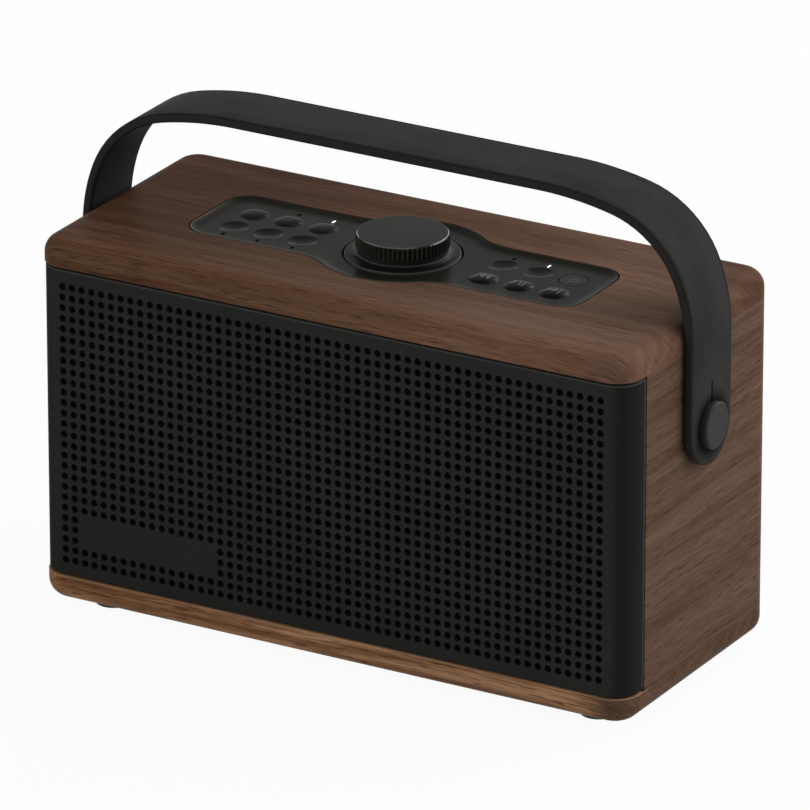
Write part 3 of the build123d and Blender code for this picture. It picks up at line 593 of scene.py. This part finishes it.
# Each finish's kind, then what that kind asks for after the name
BLACK = (0.020, 0.0195, 0.0185)
EVEN = (0.85, 0.85, 0.85)
recipes = {
    # The top's last number is the lean of its painted gradient of light
    "top_walnut": (walnut, "X", (12, 86), 0, (0.985, 0.965, 0.975), (1.2, 1.14, 1.06), 0.36),
    # The bottom's front tint is over three times the top's: partly a paler board, partly painted light
    # standing in for light from the floor; its lean is a painted gradient of light too
    "bottom_walnut": (
        walnut, "X", (-30, 70), 431, (0.9, 0.9, 0.9), (3.35, 3.25, 2.7), 0.2, 2.8, 0.8, board_top_mm
    ),
    "left_walnut": (walnut, "Y", (-40, 95), 877, EVEN, EVEN),
    # The right side's tint is lifted above the top's as painted light, making up for light the side lacks
    "right_walnut": (walnut, "Y", (60, 40), 760, (1.05, 1.155, 1.21), (0.85, 0.75, 0.65)),
    "raw_wood": (grained, (0.42, 0.31, 0.19), 1.6, 0.8, 0.25),
    # The front's sheet has painted shade round its bends and painted highlights along its ends and upper edge
    "front_coat": (powder_coat, (0.0285, 0.0285, 0.0271), 0.5, 0.006, sheet_mm),
    "stud_coat": (powder_coat, (0.030, 0.030, 0.0285), 0.42),
    "basket_coat": (powder_coat, (0.03, 0.03, 0.03), 0.4),
    "acoustic_cloth": (weave, (0.004, 0.004, 0.004)),
    # The panel's rim, the knob's crests and the skirt's lips get painted highlights
    "panel_moulding": (moulding, (0.0145, 0.0142, 0.0116), 0.30, 0.35, 0.10, 0.019, front_rim, 6.5),
    "button_moulding": (moulding, (0.0122, 0.0120, 0.0110), 0.20, 0.3, 0.03, 0.024),
    "knob_moulding": (moulding, (0.019, 0.0188, 0.0162), 0.30, 0.3, 0.05, 0.021, ridges, 3.0, knob_rim),
    "skirt_moulding": (moulding, (0.009, 0.0088, 0.0083), 0.30, 0.3, 0.05, 0.022, skirt_lips, 9.0),
    "mark_paint": (moulding, (0.13, 0.128, 0.122), 0.5, 0.3, 0.05),
    "cover_moulding": (moulding, BLACK, 0.55, 0.6, 0.3),
    "switch_moulding": (moulding, (0.03, 0.03, 0.03), 0.5),
    "strap_leather": (strap_leather, (0.033, 0.0323, 0.0304)),
    "foot_rubber": (grained, (0.014, 0.014, 0.014), 0.7, 0.75, 0.3),
    "cone_paper": (grained, (0.02, 0.02, 0.02), 1.2, 0.8, 0.4),
    "ferrite": (grained, (0.05, 0.05, 0.052), 0.8, 0.6, 0.3),
    "battery_sleeve": (grained, (0.02, 0.06, 0.24), 6.0, 0.3, 0.12, 0.05),
    "board_green": (circuit_board, (0.006, 0.045, 0.018), (0.018, 0.11, 0.045)),
    "zinc_steel": (plated, (0.60, 0.61, 0.63), 0.3, 2),
    "black_steel": (plated, (0.045, 0.045, 0.047), 0.38, 2),
    "bright_tube": (plated, (0.80, 0.81, 0.82), 0.12, 0),
    "lit_lens": (lamp_lens, (0.9, 0.9, 0.9), 1.2),
    "dark_lens": (lamp_lens, (0.0015, 0.0015, 0.0015), 0.0),
}
finishes = {name: kind(name, *settings) for name, (kind, *settings) in recipes.items()}


def dress(finish, *nodes):
    """Gives a finish to the radio's own solids."""
    for node in nodes:
        for place in frame["nodes"][node].material_slots:
            place.material = finishes[finish]


# Mesh helpers: how near points are one, in metres, and at how many degrees faces meet in an edge
MERGE = 1e-7
CREASE = 32
CUT_CREASE = 40
KNOB_CREASE = 28
SOFT_CREASE = 50


def make(name, vertices, faces, body, slot, finish, crease=CREASE):
    """A piece from points and faces, smooth except across its creases, riding on a body."""
    mesh = bpy.data.meshes.new(name)
    mesh.from_pydata(vertices, [], faces)
    work = bmesh.new()
    work.from_mesh(mesh)
    bmesh.ops.remove_doubles(work, verts=work.verts, dist=MERGE)
    bmesh.ops.recalc_face_normals(work, faces=work.faces)
    work.to_mesh(mesh)
    work.free()
    mesh.shade_smooth()
    mesh.set_sharp_from_angle(angle=radians(crease))
    mesh.materials.append(finishes[finish])
    piece = bpy.data.objects.new(name, mesh)
    bpy.context.scene.collection.objects.link(piece)
    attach(piece, body)
    return piece


def loft(*rings):
    """Points and faces of a closed skin through rings of equal counts."""
    count = len(rings[0])
    vertices = [point for ring in rings for point in ring]
    faces = [tuple(range(count)), tuple(range(len(vertices) - count, len(vertices)))]
    for low in range(0, len(vertices) - count, count):
        for step in range(count):
            after = (step + 1) % count
            faces.append((low + step, low + after, low + count + after, low + count + step))
    return vertices, faces


def join(*meshes):
    """Several points-and-faces pairs as one."""
    vertices, faces = [], []
    for points, loops in meshes:
        faces += [tuple(index + len(vertices) for index in loop) for loop in loops]
        vertices += points
    return vertices, faces


def ring_at(centre, radius, count, right, up):
    """A ring of points round a centre; radius is a number or a function of the angle."""
    size = radius if callable(radius) else lambda angle: radius
    angles = [tau * step / count for step in range(count)]
    return [centre + right * (size(a) * cos(a)) + up * (size(a) * sin(a)) for a in angles]


def level_ring(centre, z, radius, count):
    """A level ring of points at height z, round a centre."""
    return ring_at(Vector((centre.x, centre.y, z)), radius, count, RIGHT, BACK)


def prism(outline, lift, rise):
    """A raised outline of (x, y) points on a curved top: lift gives the top's height at a point."""
    top = [Vector((x, y, lift(x, y) + rise)) for x, y in outline]
    low = [Vector((x, y, lift(x, y) - MARK_SINK)) for x, y in outline]
    return loft(low, top)


def middle(node):
    """The middle of a node's box."""
    low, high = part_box(node)
    return (Vector(low) + Vector(high)) / 2


def islands(node):
    """The middle and lowest and highest corners of each separate solid of a node."""
    work = bmesh.new()
    work.from_mesh(frame["nodes"][node].data)
    bmesh.ops.remove_doubles(work, verts=work.verts, dist=MERGE)
    left = set(work.verts)
    found = []
    while left:
        stack = [left.pop()]
        points = []
        while stack:
            vertex = stack.pop()
            points.append(vertex.co.copy())
            for link in vertex.link_edges:
                other = link.other_vert(vertex)
                if other in left:
                    left.remove(other)
                    stack.append(other)
        low = Vector([min(p[axis] for p in points) for axis in range(3)])
        high = Vector([max(p[axis] for p in points) for axis in range(3)])
        found.append(((low + high) / 2, low, high))
    work.free()
    return sorted(found, key=lambda solid: tuple(solid[0]))


# Perforated front, wrapped round the cabinet's corners
sheet_flat = sheet_high.x - SHEET_CORNER_R
sheet_bend = sheet_flat + SHEET_CORNER_R * pi / 2
sheet_end = sheet_bend + sheet_high.y - sheet_low.y - SHEET_CORNER_R


def sheet_point(run, out, z):
    """A point on the wrapped sheet: run along it from the middle, out from its front face, at height z."""
    side = 1 if run >= 0 else -1
    run = abs(run)
    turn = min(max(run - sheet_flat, 0) / SHEET_CORNER_R, pi / 2)
    straight = min(run, sheet_flat)
    back = max(run - sheet_bend, 0)
    reach = SHEET_CORNER_R + out
    x = straight + reach * sin(turn)
    y = sheet_low.y + SHEET_CORNER_R - reach * cos(turn) + back
    return Vector((side * x, y, z))


def perforated_front():
    """The sheet's mesh: a grid of cells, most of them pierced by a round hole."""
    half = HOLE_COLUMNS * HOLE_PITCH / 2
    low_edge = sheet_high.z - HOLE_TOP_DROP - (HOLE_ROWS - 0.5) * HOLE_PITCH
    bends = range(1, SHEET_BEND_STEPS + 1)
    wing = [half + (sheet_bend - half) * step / SHEET_BEND_STEPS for step in bends] + [sheet_end]
    runs = [-run for run in reversed(wing)]
    first_column = len(runs)
    runs += [-half + HOLE_PITCH * column for column in range(HOLE_COLUMNS + 1)] + wing
    low, high = sheet_low.z + SHEET_GAP, sheet_high.z - SHEET_TOP_GAP
    edge = [(up * SHEET_EDGE_R, out * SHEET_EDGE_R) for up, out in ((0.0, -1.0), (0.3, -0.29), (1.0, 0.0))]
    levels = [(low, -SHEET_T)] + [(low + up, out) for up, out in edge]
    first_row = len(levels)
    levels += [(low_edge + HOLE_PITCH * row, 0.0) for row in range(HOLE_ROWS + 1)]
    levels += [(high - up, out) for up, out in reversed(edge)] + [(high, -SHEET_T)]
    vertices = [sheet_point(run, out, z) for z, out in levels for run in runs]
    faces = []
    width = len(runs)
    for row in range(len(levels) - 1):
        for column in range(width - 1):
            corner = row * width + column
            cell = (corner, corner + 1, corner + width + 1, corner + width)
            hole_row = HOLE_ROWS - 1 - (row - first_row)
            hole_column = column - first_column
            pierced = 0 <= hole_row < HOLE_ROWS and 0 <= hole_column < HOLE_COLUMNS
            if not pierced or (hole_column in BARE_COLUMNS and hole_row in BARE_ROWS):
                faces.append(cell)
                continue
            start = len(vertices)
            centre_x = runs[column] + HOLE_PITCH / 2
            centre_z = levels[row][0] + HOLE_PITCH / 2
            for depth in (0.0, -SHEET_T):
                for step in range(HOLE_SIDES):
                    angle = tau * step / HOLE_SIDES - HOLE_START
                    point = centre_x + HOLE_R * cos(angle), depth, centre_z + HOLE_R * sin(angle)
                    vertices.append(sheet_point(*point))
            quarter = HOLE_SIDES // 4
            for side in range(4):
                arc = [start + (side * quarter + step) % HOLE_SIDES for step in range(quarter + 1)]
                faces.append((cell[side], cell[(side + 1) % 4], *reversed(arc)))
            for step in range(HOLE_SIDES):
                after = (step + 1) % HOLE_SIDES
                deep = start + HOLE_SIDES
                faces.append((start + step, start + after, deep + after, deep + step))
    return vertices, faces


front = make("perforated_front", *perforated_front(), "cabinet", "black_metal", "front_coat")
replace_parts(front, "front_grille")

# Strap handle: a band with rounded edges, bent over its shoulders, with round ends and a slit over each stud


def strap_section(at, out, half_w):
    """A rounded cross-section of the band at a point of its middle line, out being away from the hand."""
    bevel = min(STRAP_EDGE_R, 0.9 * half_w)
    corners = ((1, 1, 0), (-1, 1, 1), (-1, -1, 2), (1, -1, 3))
    points = []
    for sign_y, sign_out, quarter in corners:
        for step in range(STRAP_EDGE_STEPS + 1):
            angle = (quarter + step / STRAP_EDGE_STEPS) * pi / 2
            across = sign_y * (half_w - bevel) + bevel * cos(angle)
            thick = sign_out * (STRAP_T / 2 - bevel) + bevel * sin(angle)
            points.append(at + Vector((0, across, 0)) + out * thick)
    return points


def strap_half():
    """Sections of the band from the middle of its top down to the tip at the right-hand stud."""
    reach, edge_paint_and_shade = 0.0, 0.0
    for radius, turn in STRAP_BENDS:
        reach += radius * (sin(radians(edge_paint_and_shade + turn)) - sin(radians(edge_paint_and_shade)))
        edge_paint_and_shade += turn
    at = Vector((strap_high.x - reach, strap_y, strap_high.z - STRAP_T / 2))
    sections = [(at, UP, strap_half_w)]
    edge_paint_and_shade = 0.0
    for radius, turn in STRAP_BENDS:
        inner = radius - STRAP_T / 2
        start = at - inner * Vector((sin(radians(edge_paint_and_shade)), 0, cos(radians(edge_paint_and_shade))))
        for step in range(1, STRAP_BEND_STEPS + 1):
            angle = radians(edge_paint_and_shade + turn * step / STRAP_BEND_STEPS)
            out = Vector((sin(angle), 0, cos(angle)))
            sections.append((start + inner * out, out, strap_half_w))
        at = sections[-1][0]
        edge_paint_and_shade += turn
    for step in range(STRAP_TIP_STEPS):
        angle = pi / 2 * step / STRAP_TIP_STEPS
        z = stud_z - strap_half_w * sin(angle)
        sections.append((Vector((at.x, strap_y, z)), RIGHT, strap_half_w * cos(angle)))
    tip = Vector((at.x, strap_y, strap_low.z + STRAP_TIP_LIFT))
    sections.append((tip, RIGHT, strap_half_w * STRAP_TIP_SHARE))
    return sections


def strap_band():
    """The whole band's skin, its left half the mirror of its right."""
    right = strap_half()
    flip = Vector((-1, 1, 1))
    left = [(at * flip, out * flip, half_w) for at, out, half_w in right]
    return loft(*(strap_section(*section) for section in left[::-1] + right))


def slit_cutter():
    """Two narrow bars with round tops, one through each end of the band."""
    foot, top = Vector((0, strap_y, stud_z)), Vector((0, strap_y, stud_z + SLIT_L))
    outline = [foot - BACK * (SLIT_W / 2), foot + BACK * (SLIT_W / 2)]
    outline += ring_at(top, SLIT_W / 2, SLIT_STEPS, BACK, UP)[: SLIT_STEPS // 2 + 1]
    bars = []
    for side in (-1, 1):
        ends = [RIGHT * (side * strap_high.x + shift) for shift in (-SLIT_REACH, SLIT_REACH)]
        bars.append(loft(*([point + end for point in outline] for end in ends)))
    return join(*bars)


def cut(piece, cutter):
    """Takes one mesh out of another and removes the cutter."""
    carve = piece.modifiers.new("carve", "BOOLEAN")
    carve.operation = "DIFFERENCE"
    carve.object = cutter
    bpy.context.view_layer.update()
    graph = bpy.context.evaluated_depsgraph_get()
    carved = bpy.data.meshes.new_from_object(piece.evaluated_get(graph))
    piece.modifiers.remove(carve)
    piece.data = carved
    bpy.data.objects.remove(cutter)
    carved.shade_smooth()
    carved.set_sharp_from_angle(angle=radians(CUT_CREASE))


strap = make("strap_band", *strap_band(), "handle", "strap", "strap_leather")
cut(strap, make("slit_cutter", *slit_cutter(), "handle", "strap", "strap_leather"))
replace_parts(strap, "handle_strap")

# Knob: a fluted grip with a plain foot and a smooth bevel over the flutes


def fluted(depth, shrink):
    """The grip's radius by angle, with flutes of a depth."""
    return lambda angle: knob_r - shrink - depth * (0.5 - 0.5 * cos(KNOB_FLUTES * angle)) ** 0.5


def knob_grip():
    """The grip's skin, through rings of a height, a depth of flutes and a step in from the widest."""
    foot_z = knob_low.z + KNOB_FOOT
    rim_z = knob_high.z - KNOB_BEVEL
    profile = [
        (knob_low.z, 0.0, KNOB_FOOT_INSET),
        (foot_z - 0.25 * MM, 0.0, KNOB_FOOT_INSET),
        (foot_z, FLUTE_DEPTH * 0.5, KNOB_FOOT_INSET / 2),
        (foot_z + 0.2 * MM, FLUTE_DEPTH, 0.0),
        (rim_z, FLUTE_DEPTH, 0.0),
        (rim_z + 0.15 * KNOB_BEVEL, FLUTE_DEPTH * 0.6, 0.12 * MM),
        (rim_z + 0.3 * KNOB_BEVEL, 0.0, 0.4 * MM),
        (knob_high.z, 0.0, 0.72 * MM),
        (knob_high.z, 0.0, KNOB_TOP_RING),
    ]
    count = KNOB_FLUTES * FLUTE_STEPS
    return loft(*(level_ring(knob_mid, z, fluted(depth, shrink), count) for z, depth, shrink in profile))


knob = make("knob_grip", *knob_grip(), "knob", "knob", "knob_moulding", KNOB_CREASE)
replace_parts(knob, "knob_cap")

# Skirt: a flared ring under the grip, from a raised step down to a rounded outer lip


def flared_skirt():
    """The skirt's skin, through rings of a radius and a height."""
    low, high, drop = skirt_low.z, skirt_high.z, SKIRT_DROP
    step_r = knob_r + SKIRT_STEP
    profile = [
        (skirt_r - 0.4 * MM, low),
        (skirt_r, low + 0.2 * MM),
        (skirt_r, high - drop - 0.25 * MM),
        (skirt_r - 0.12 * MM, high - drop),
        (skirt_r - 0.35 * MM, high - drop + 0.03 * MM),
        (skirt_r - 1.4 * MM, high - 0.88 * drop),
        (skirt_r - 2.4 * MM, high - 0.70 * drop),
        (step_r + 0.5 * MM, high - 0.42 * drop),
        (step_r + 0.15 * MM, high - 0.12 * drop),
        (step_r, high),
        (step_r - 1.5 * MM, high),
    ]
    return loft(*(level_ring(knob_mid, z, radius, SKIRT_STEPS) for radius, z in profile))


skirt = make("flared_skirt", *flared_skirt(), "knob", "knob", "skirt_moulding", SOFT_CREASE)
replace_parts(skirt, "knob_skirt")

# Control panel: a dished moulding with a soft lip, bored for the buttons and the knob
panel_mid = middle("control_panel")
dish_drop = panel_high.z - dish_z


def panel_ring(inset, z):
    """The panel's outline drawn in by inset, at height z."""
    waist_y = PANEL_HALF_W + PANEL_WAIST_R
    waist_x = sqrt((PANEL_BULGE_R + PANEL_WAIST_R) ** 2 - waist_y**2)
    meet = atan2(waist_y, waist_x)
    end = PANEL_HALF_L - PANEL_END_R, PANEL_HALF_W - PANEL_END_R
    arcs = (
        ((0.0, 0.0), PANEL_BULGE_R - inset, pi / 2, meet),
        ((waist_x, waist_y), PANEL_WAIST_R + inset, meet + pi, 3 * pi / 2),
        (end, PANEL_END_R - inset, pi / 2, 0.0),
    )
    quarter = []
    for ((x, y), radius, start, stop), steps in zip(arcs, PANEL_ARC_STEPS):
        for step in range(steps + 1):
            angle = start + (stop - start) * step / steps
            quarter.append((x + radius * cos(angle), y + radius * sin(angle)))
    outline = quarter + [(x, -y) for x, y in reversed(quarter)]
    outline += [(-x, -y) for x, y in quarter[1:]] + [(-x, y) for x, y in reversed(quarter[1:])]
    return [Vector((panel_mid.x + x, panel_mid.y + y, z)) for x, y in outline]


def dished_panel():
    """The moulding's skin: underside, rim, soft lip and dished floor."""
    gap_inset, floor_drop = PANEL_LIP[0][0], PANEL_LIP[-1][1]
    profile = [(0.0, PANEL_T), (0.0, PANEL_GAP_DEPTH + PANEL_GAP_SLOPE), (gap_inset * MM, PANEL_GAP_DEPTH)]
    profile += [(inset * MM, drop / floor_drop * dish_drop) for inset, drop in PANEL_LIP]
    return loft(*(panel_ring(inset, panel_high.z - drop) for inset, drop in profile))


def drill(centre, radius, low, high, count=DRILL_STEPS):
    """A round bar standing between two heights."""
    return loft(*(level_ring(centre, z, radius, count) for z in (low, high)))


buttons = [body for body in frame["bodies"] if body.startswith("button_")]
panel = make("dished_panel", *dished_panel(), "cabinet", "panel", "panel_moulding")
deep, clear = panel_mid.z - DRILL_REACH, panel_high.z + DRILL_REACH
drills = [drill(middle(button), BUTTON_HOLE_R, deep, clear) for button in buttons]
drills.append(drill(knob_mid, WELL_R, deep, clear, WELL_STEPS))
cut(panel, make("panel_drills", *join(*drills), "cabinet", "panel", "panel_moulding"))
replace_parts(panel, "control_panel")

# Well under the knob, seen as a dark ring round its skirt
well_z = skirt_low.z - WELL_DROP
well = drill(knob_mid, WELL_R, well_z - WELL_T, well_z, WELL_STEPS)
make("knob_well", *well, "cabinet", "panel", "panel_moulding")

# Buttons: soft domes and dimples flush with the dished floor, and one flat power button


def button_kind(button):
    """Which of the three tops a button has."""
    if button == "button_right_back_outer":
        return "flat"
    return "dimple" if button.startswith(("button_left_front", "button_right_back")) else "dome"


def soft_height(share, kind):
    """Height of a button's top over the dished floor, at a share of its radius."""
    if kind == "dome":
        return BUTTON_CROWN * (1 - share**3.0) ** 1.1
    return -BUTTON_DIMPLE * (1 - share**2.2) ** 1.1 if kind == "dimple" else 0.0


def soft_button(button):
    """A button's skin: a plain side and a top that rises or sinks smoothly from its rim."""
    centre, kind = middle(button), button_kind(button)
    radius = POWER_R if kind == "flat" else BUTTON_R
    profile = [(1.0, -BUTTON_SIDE)] + [(share, soft_height(share, kind)) for share in reversed(BUTTON_RINGS)]
    return loft(*(level_ring(centre, dish_z + rise, radius * share, BUTTON_STEPS) for share, rise in profile))


for button in buttons:
    cap = make(f"{button}_cap", *soft_button(button), button, "buttons", "button_moulding", SOFT_CREASE)
    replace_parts(cap, button)

# Raised marks: back, play or pause, and forward on three domes, and a power mark on the flat button


def lift_on(button):
    """A function that gives the height of a button's top at a point."""
    centre = middle(button)
    kind = button_kind(button)
    return lambda x, y: dish_z + soft_height(hypot(x - centre.x, y - centre.y) / BUTTON_R, kind)


def arrow(x):
    """An arrowhead from x to the right."""
    return [(x, -ARROW_H / 2), (x + ARROW_W, 0.0), (x, ARROW_H / 2)]


def bar(x, width=BAR_W, height=ARROW_H):
    """An upright bar from x to the right."""
    return [(x, -height / 2), (x + width, -height / 2), (x + width, height / 2), (x, height / 2)]


skip_shapes = [arrow(-2.7 * MM), arrow(-0.4 * MM), bar(1.95 * MM)]
play_shapes = [arrow(-2.7 * MM), bar(0.35 * MM), bar(1.75 * MM)]
back_shapes = [[(-x, y) for x, y in shape] for shape in skip_shapes]


def power_shapes():
    """A broken ring with a bar through its gap."""
    inner, outer = POWER_RING_R
    start, sweep = pi / 2 + POWER_RING_GAP, tau - 2 * POWER_RING_GAP
    angles = [start + sweep * step / POWER_RING_STEPS for step in range(POWER_RING_STEPS + 1)]
    ring = [(outer * cos(a), outer * sin(a)) for a in angles]
    ring += [(inner * cos(a), inner * sin(a)) for a in reversed(angles)]
    return [ring, [(x, y + POWER_BAR_Y) for x, y in bar(-POWER_BAR_W / 2, POWER_BAR_W, POWER_BAR_H)]]


marks = {
    "back_mark": ("button_right_front_inner", back_shapes),
    "play_mark": ("button_right_front_middle", play_shapes),
    "skip_mark": ("button_right_front_outer", skip_shapes),
    "power_mark": ("button_right_back_outer", power_shapes()),
}
for name, (button, shapes) in marks.items():
    centre = middle(button)
    lift = lift_on(button)
    outlines = [[(centre.x + x, centre.y + y) for x, y in shape] for shape in shapes]
    rise = MARK_RISE if button_kind(button) == "dome" else FLAT_MARK_RISE
    solids = join(*(prism(outline, lift, rise) for outline in outlines))
    make(name, *solids, button, "buttons", "mark_paint")

# Light pipes: round-ended lenses just proud of the dished floor


def lenses(node, spread):
    """A round-ended lens in place of each light pipe of a node, spread over its dark joint in the panel."""
    shapes = []
    for mid, low, high in islands(node):
        half_w = (high.x - low.x) / 2 + spread
        half_l = (high.y - low.y) / 2 - LENS_TRIM
        outline = []
        for step in range(LENS_STEPS):
            angle = tau * step / LENS_STEPS
            end = (half_l - half_w) * (1 if sin(angle) >= 0 else -1)
            outline.append((half_w * cos(angle), end + half_w * sin(angle)))
        profile = ((low.z, 1.0), (high.z - LENS_EDGE, 1.0), (high.z, 0.92), (high.z + LENS_RISE, 0.6))
        rings = [[Vector((mid.x + x * size, mid.y + y * size, z)) for x, y in outline] for z, size in profile]
        shapes.append(loft(*rings))
    return join(*shapes)


for name, node, slot, finish, spread in (
    ("lit_lenses", "lit_light_pipes", "lit_lights", "lit_lens", 0.0),
    ("dark_lenses", "dark_light_pipes", "dark_lights", "dark_lens", DARK_JOINT),
):
    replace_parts(make(name, *lenses(node, spread), "cabinet", slot, finish), node)

# Screws with a cross recess in a round head


def cross(angle):
    """The recess's outline: a plus sign, by angle."""
    along = max(abs(cos(angle)), abs(sin(angle)))
    aside = max(min(abs(cos(angle)), abs(sin(angle))), 1e-6)
    reach = min(CROSS_ARM / along, CROSS_HALF_W / aside)
    return max(reach, CROSS_CORE_R)


def screw_head(centre, out, radius, height):
    """A low round head at centre, facing out, with its cross recess and a short shank."""
    profile = [
        (-SHANK_L, SHANK_R),
        (0.0, SHANK_R),
        (0.0, radius),
        (height * 0.45, radius),
        (height * 0.75, radius * 0.9),
        (height * 0.95, radius * 0.68),
        (height, radius * 0.58),
        (height, cross),
        (height - CROSS_SINK, lambda angle: 0.62 * cross(angle)),
    ]
    up = out.cross(RIGHT)
    return loft(*(ring_at(centre + out * rise, size, SCREW_STEPS, RIGHT, up) for rise, size in profile))


for name, node, out, height, finish in (
    ("cover_screw_heads", "rear_cover_screws", BACK, COVER_HEAD_H, "black_steel"),
    ("foot_screw_heads", "foot_screws", -UP, FOOT_HEAD_H, "zinc_steel"),
):
    heads = []
    for mid, low, high in islands(node):
        seat = mid + out * (abs((high - low).dot(out)) / 2 - height)
        heads.append(screw_head(seat, out, (high.x - low.x) / 2, height))
    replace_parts(make(name, *join(*heads), "cabinet", "steel", finish), node)

# Finishes of the solids that show as they are
dress("top_walnut", "top_board")
dress("bottom_walnut", "bottom_board")
dress("left_walnut", "left_side_board")
dress("right_walnut", "right_side_board")
dress("raw_wood", "corner_battens")
dress("acoustic_cloth", "grille_cloth", "front_baffle")
dress("basket_coat", "left_driver_basket", "right_driver_basket")
dress("cone_paper", "left_driver_cone", "right_driver_cone")
dress("ferrite", "left_driver_magnet", "right_driver_magnet")
dress("panel_moulding", "panel_carrier")
dress("switch_moulding", "button_switches", "encoder_body")
dress("board_green", "button_board", "main_board")
dress("stud_coat", "strap_studs")
dress("foot_rubber", "rubber_feet")
dress("cover_moulding", "rear_cover", "aerial_mount", "aerial_rest", "aux_socket")
dress("battery_sleeve", "battery_pack")
dress("zinc_steel", "driver_screws", "panel_screws", "main_board_screws", "board_standoffs", "stud_nuts")
dress("zinc_steel", "encoder_shaft", "usb_socket", "battery_clamp", "aerial_nut")
dress("bright_tube", "aerial_turret", "aerial_elbow", "aerial_outer_tube", "aerial_middle_tube", "aerial_tip")


# Stage: a pale floor that keeps the shadow, a white surround, soft lamps and the camera


def seen_directly(finish):
    """1 for rays from the camera, and for reflected or refracted ones, that should see plain white."""
    kinds = ("Is Camera Ray", "Is Glossy Ray", "Is Transmission Ray")
    camera_ray, glossy_ray, clear_ray = (finish.node("ShaderNodeLightPath", output=kind) for kind in kinds)
    return camera_ray.step("MAXIMUM", glossy_ray).step("MAXIMUM", clear_ray)


def floor():
    """A wide pale floor, near white where it is seen and matt where light falls on it."""
    ground = Finish("pale_floor")
    shade = ground.node("ShaderNodeBsdfDiffuse", None, {"Color": (FLOOR_GREY, FLOOR_GREY, FLOOR_GREY, 1.0)})
    glow = ground.node("ShaderNodeEmission", None, {"Color": WHITE})
    share = seen_directly(ground) * FLOOR_WHITE
    blend = ground.node("ShaderNodeMixShader", None, {0: share, 1: shade, 2: glow})
    ground.feed(ground.tree.nodes["Material Output"].inputs[0], blend)
    mesh = bpy.data.meshes.new("floor")
    corners = [(x * FLOOR_HALF, y * FLOOR_HALF, 0.0) for x, y in ((-1, -1), (1, -1), (1, 1), (-1, 1))]
    mesh.from_pydata(corners, [], [(0, 1, 2, 3)])
    mesh.materials.append(ground.material)
    plane = bpy.data.objects.new("floor", mesh)
    bpy.context.scene.collection.objects.link(plane)


class Surround(Finish):
    """The world's own nodes, made in the same way."""

    def __init__(self, name):
        self.world = bpy.data.worlds.new(name)
        self.world.use_nodes = True
        self.tree = self.world.node_tree


def surround():
    """A surround that is white where it is seen and sheds a dimmer light."""
    sky = Surround("white_surround")
    seen = seen_directly(sky)
    background = sky.tree.nodes["Background"]
    sky.feed(background.inputs["Color"], WHITE)
    sky.feed(background.inputs["Strength"], seen + (1 - seen) * AMBIENT)
    bpy.context.scene.world = sky.world


def lamp(name, place, size, power):
    """A square soft lamp aimed at the middle of the view."""
    light = bpy.data.lights.new(name, "AREA")
    light.size = size
    light.energy = power
    holder = bpy.data.objects.new(name, light)
    holder.location = place
    holder.rotation_euler = (VIEW_TARGET - Vector(place)).to_track_quat("-Z", "Y").to_euler()
    bpy.context.scene.collection.objects.link(holder)


def camera():
    """The camera, aimed at the middle of the view."""
    data = bpy.data.cameras.new("camera")
    data.lens = VIEW_LENS
    data.sensor_width = VIEW_FILM
    data.clip_end = VIEW_END
    holder = bpy.data.objects.new("camera", data)
    level = cos(VIEW_ELEVATION)
    back = Vector((sin(VIEW_AZIMUTH) * level, -cos(VIEW_AZIMUTH) * level, sin(VIEW_ELEVATION)))
    holder.location = VIEW_TARGET + back * VIEW_DISTANCE
    holder.rotation_euler = (-back).to_track_quat("-Z", "Y").to_euler()
    bpy.context.scene.collection.objects.link(holder)
    bpy.context.scene.camera = holder


floor()
surround()
lamp("key_lamp", (1.1, 0.95, 1.25), 2.2, 38.0)
lamp("back_lamp", (0.1, 1.8, 1.2), 0.7, 9.0)
lamp("fill_lamp", (-1.2, -1.6, 1.2), 1.4, 12.5)
camera()
bpy.context.scene.view_settings.view_transform = "Standard"

bpy.context.view_layer.update()
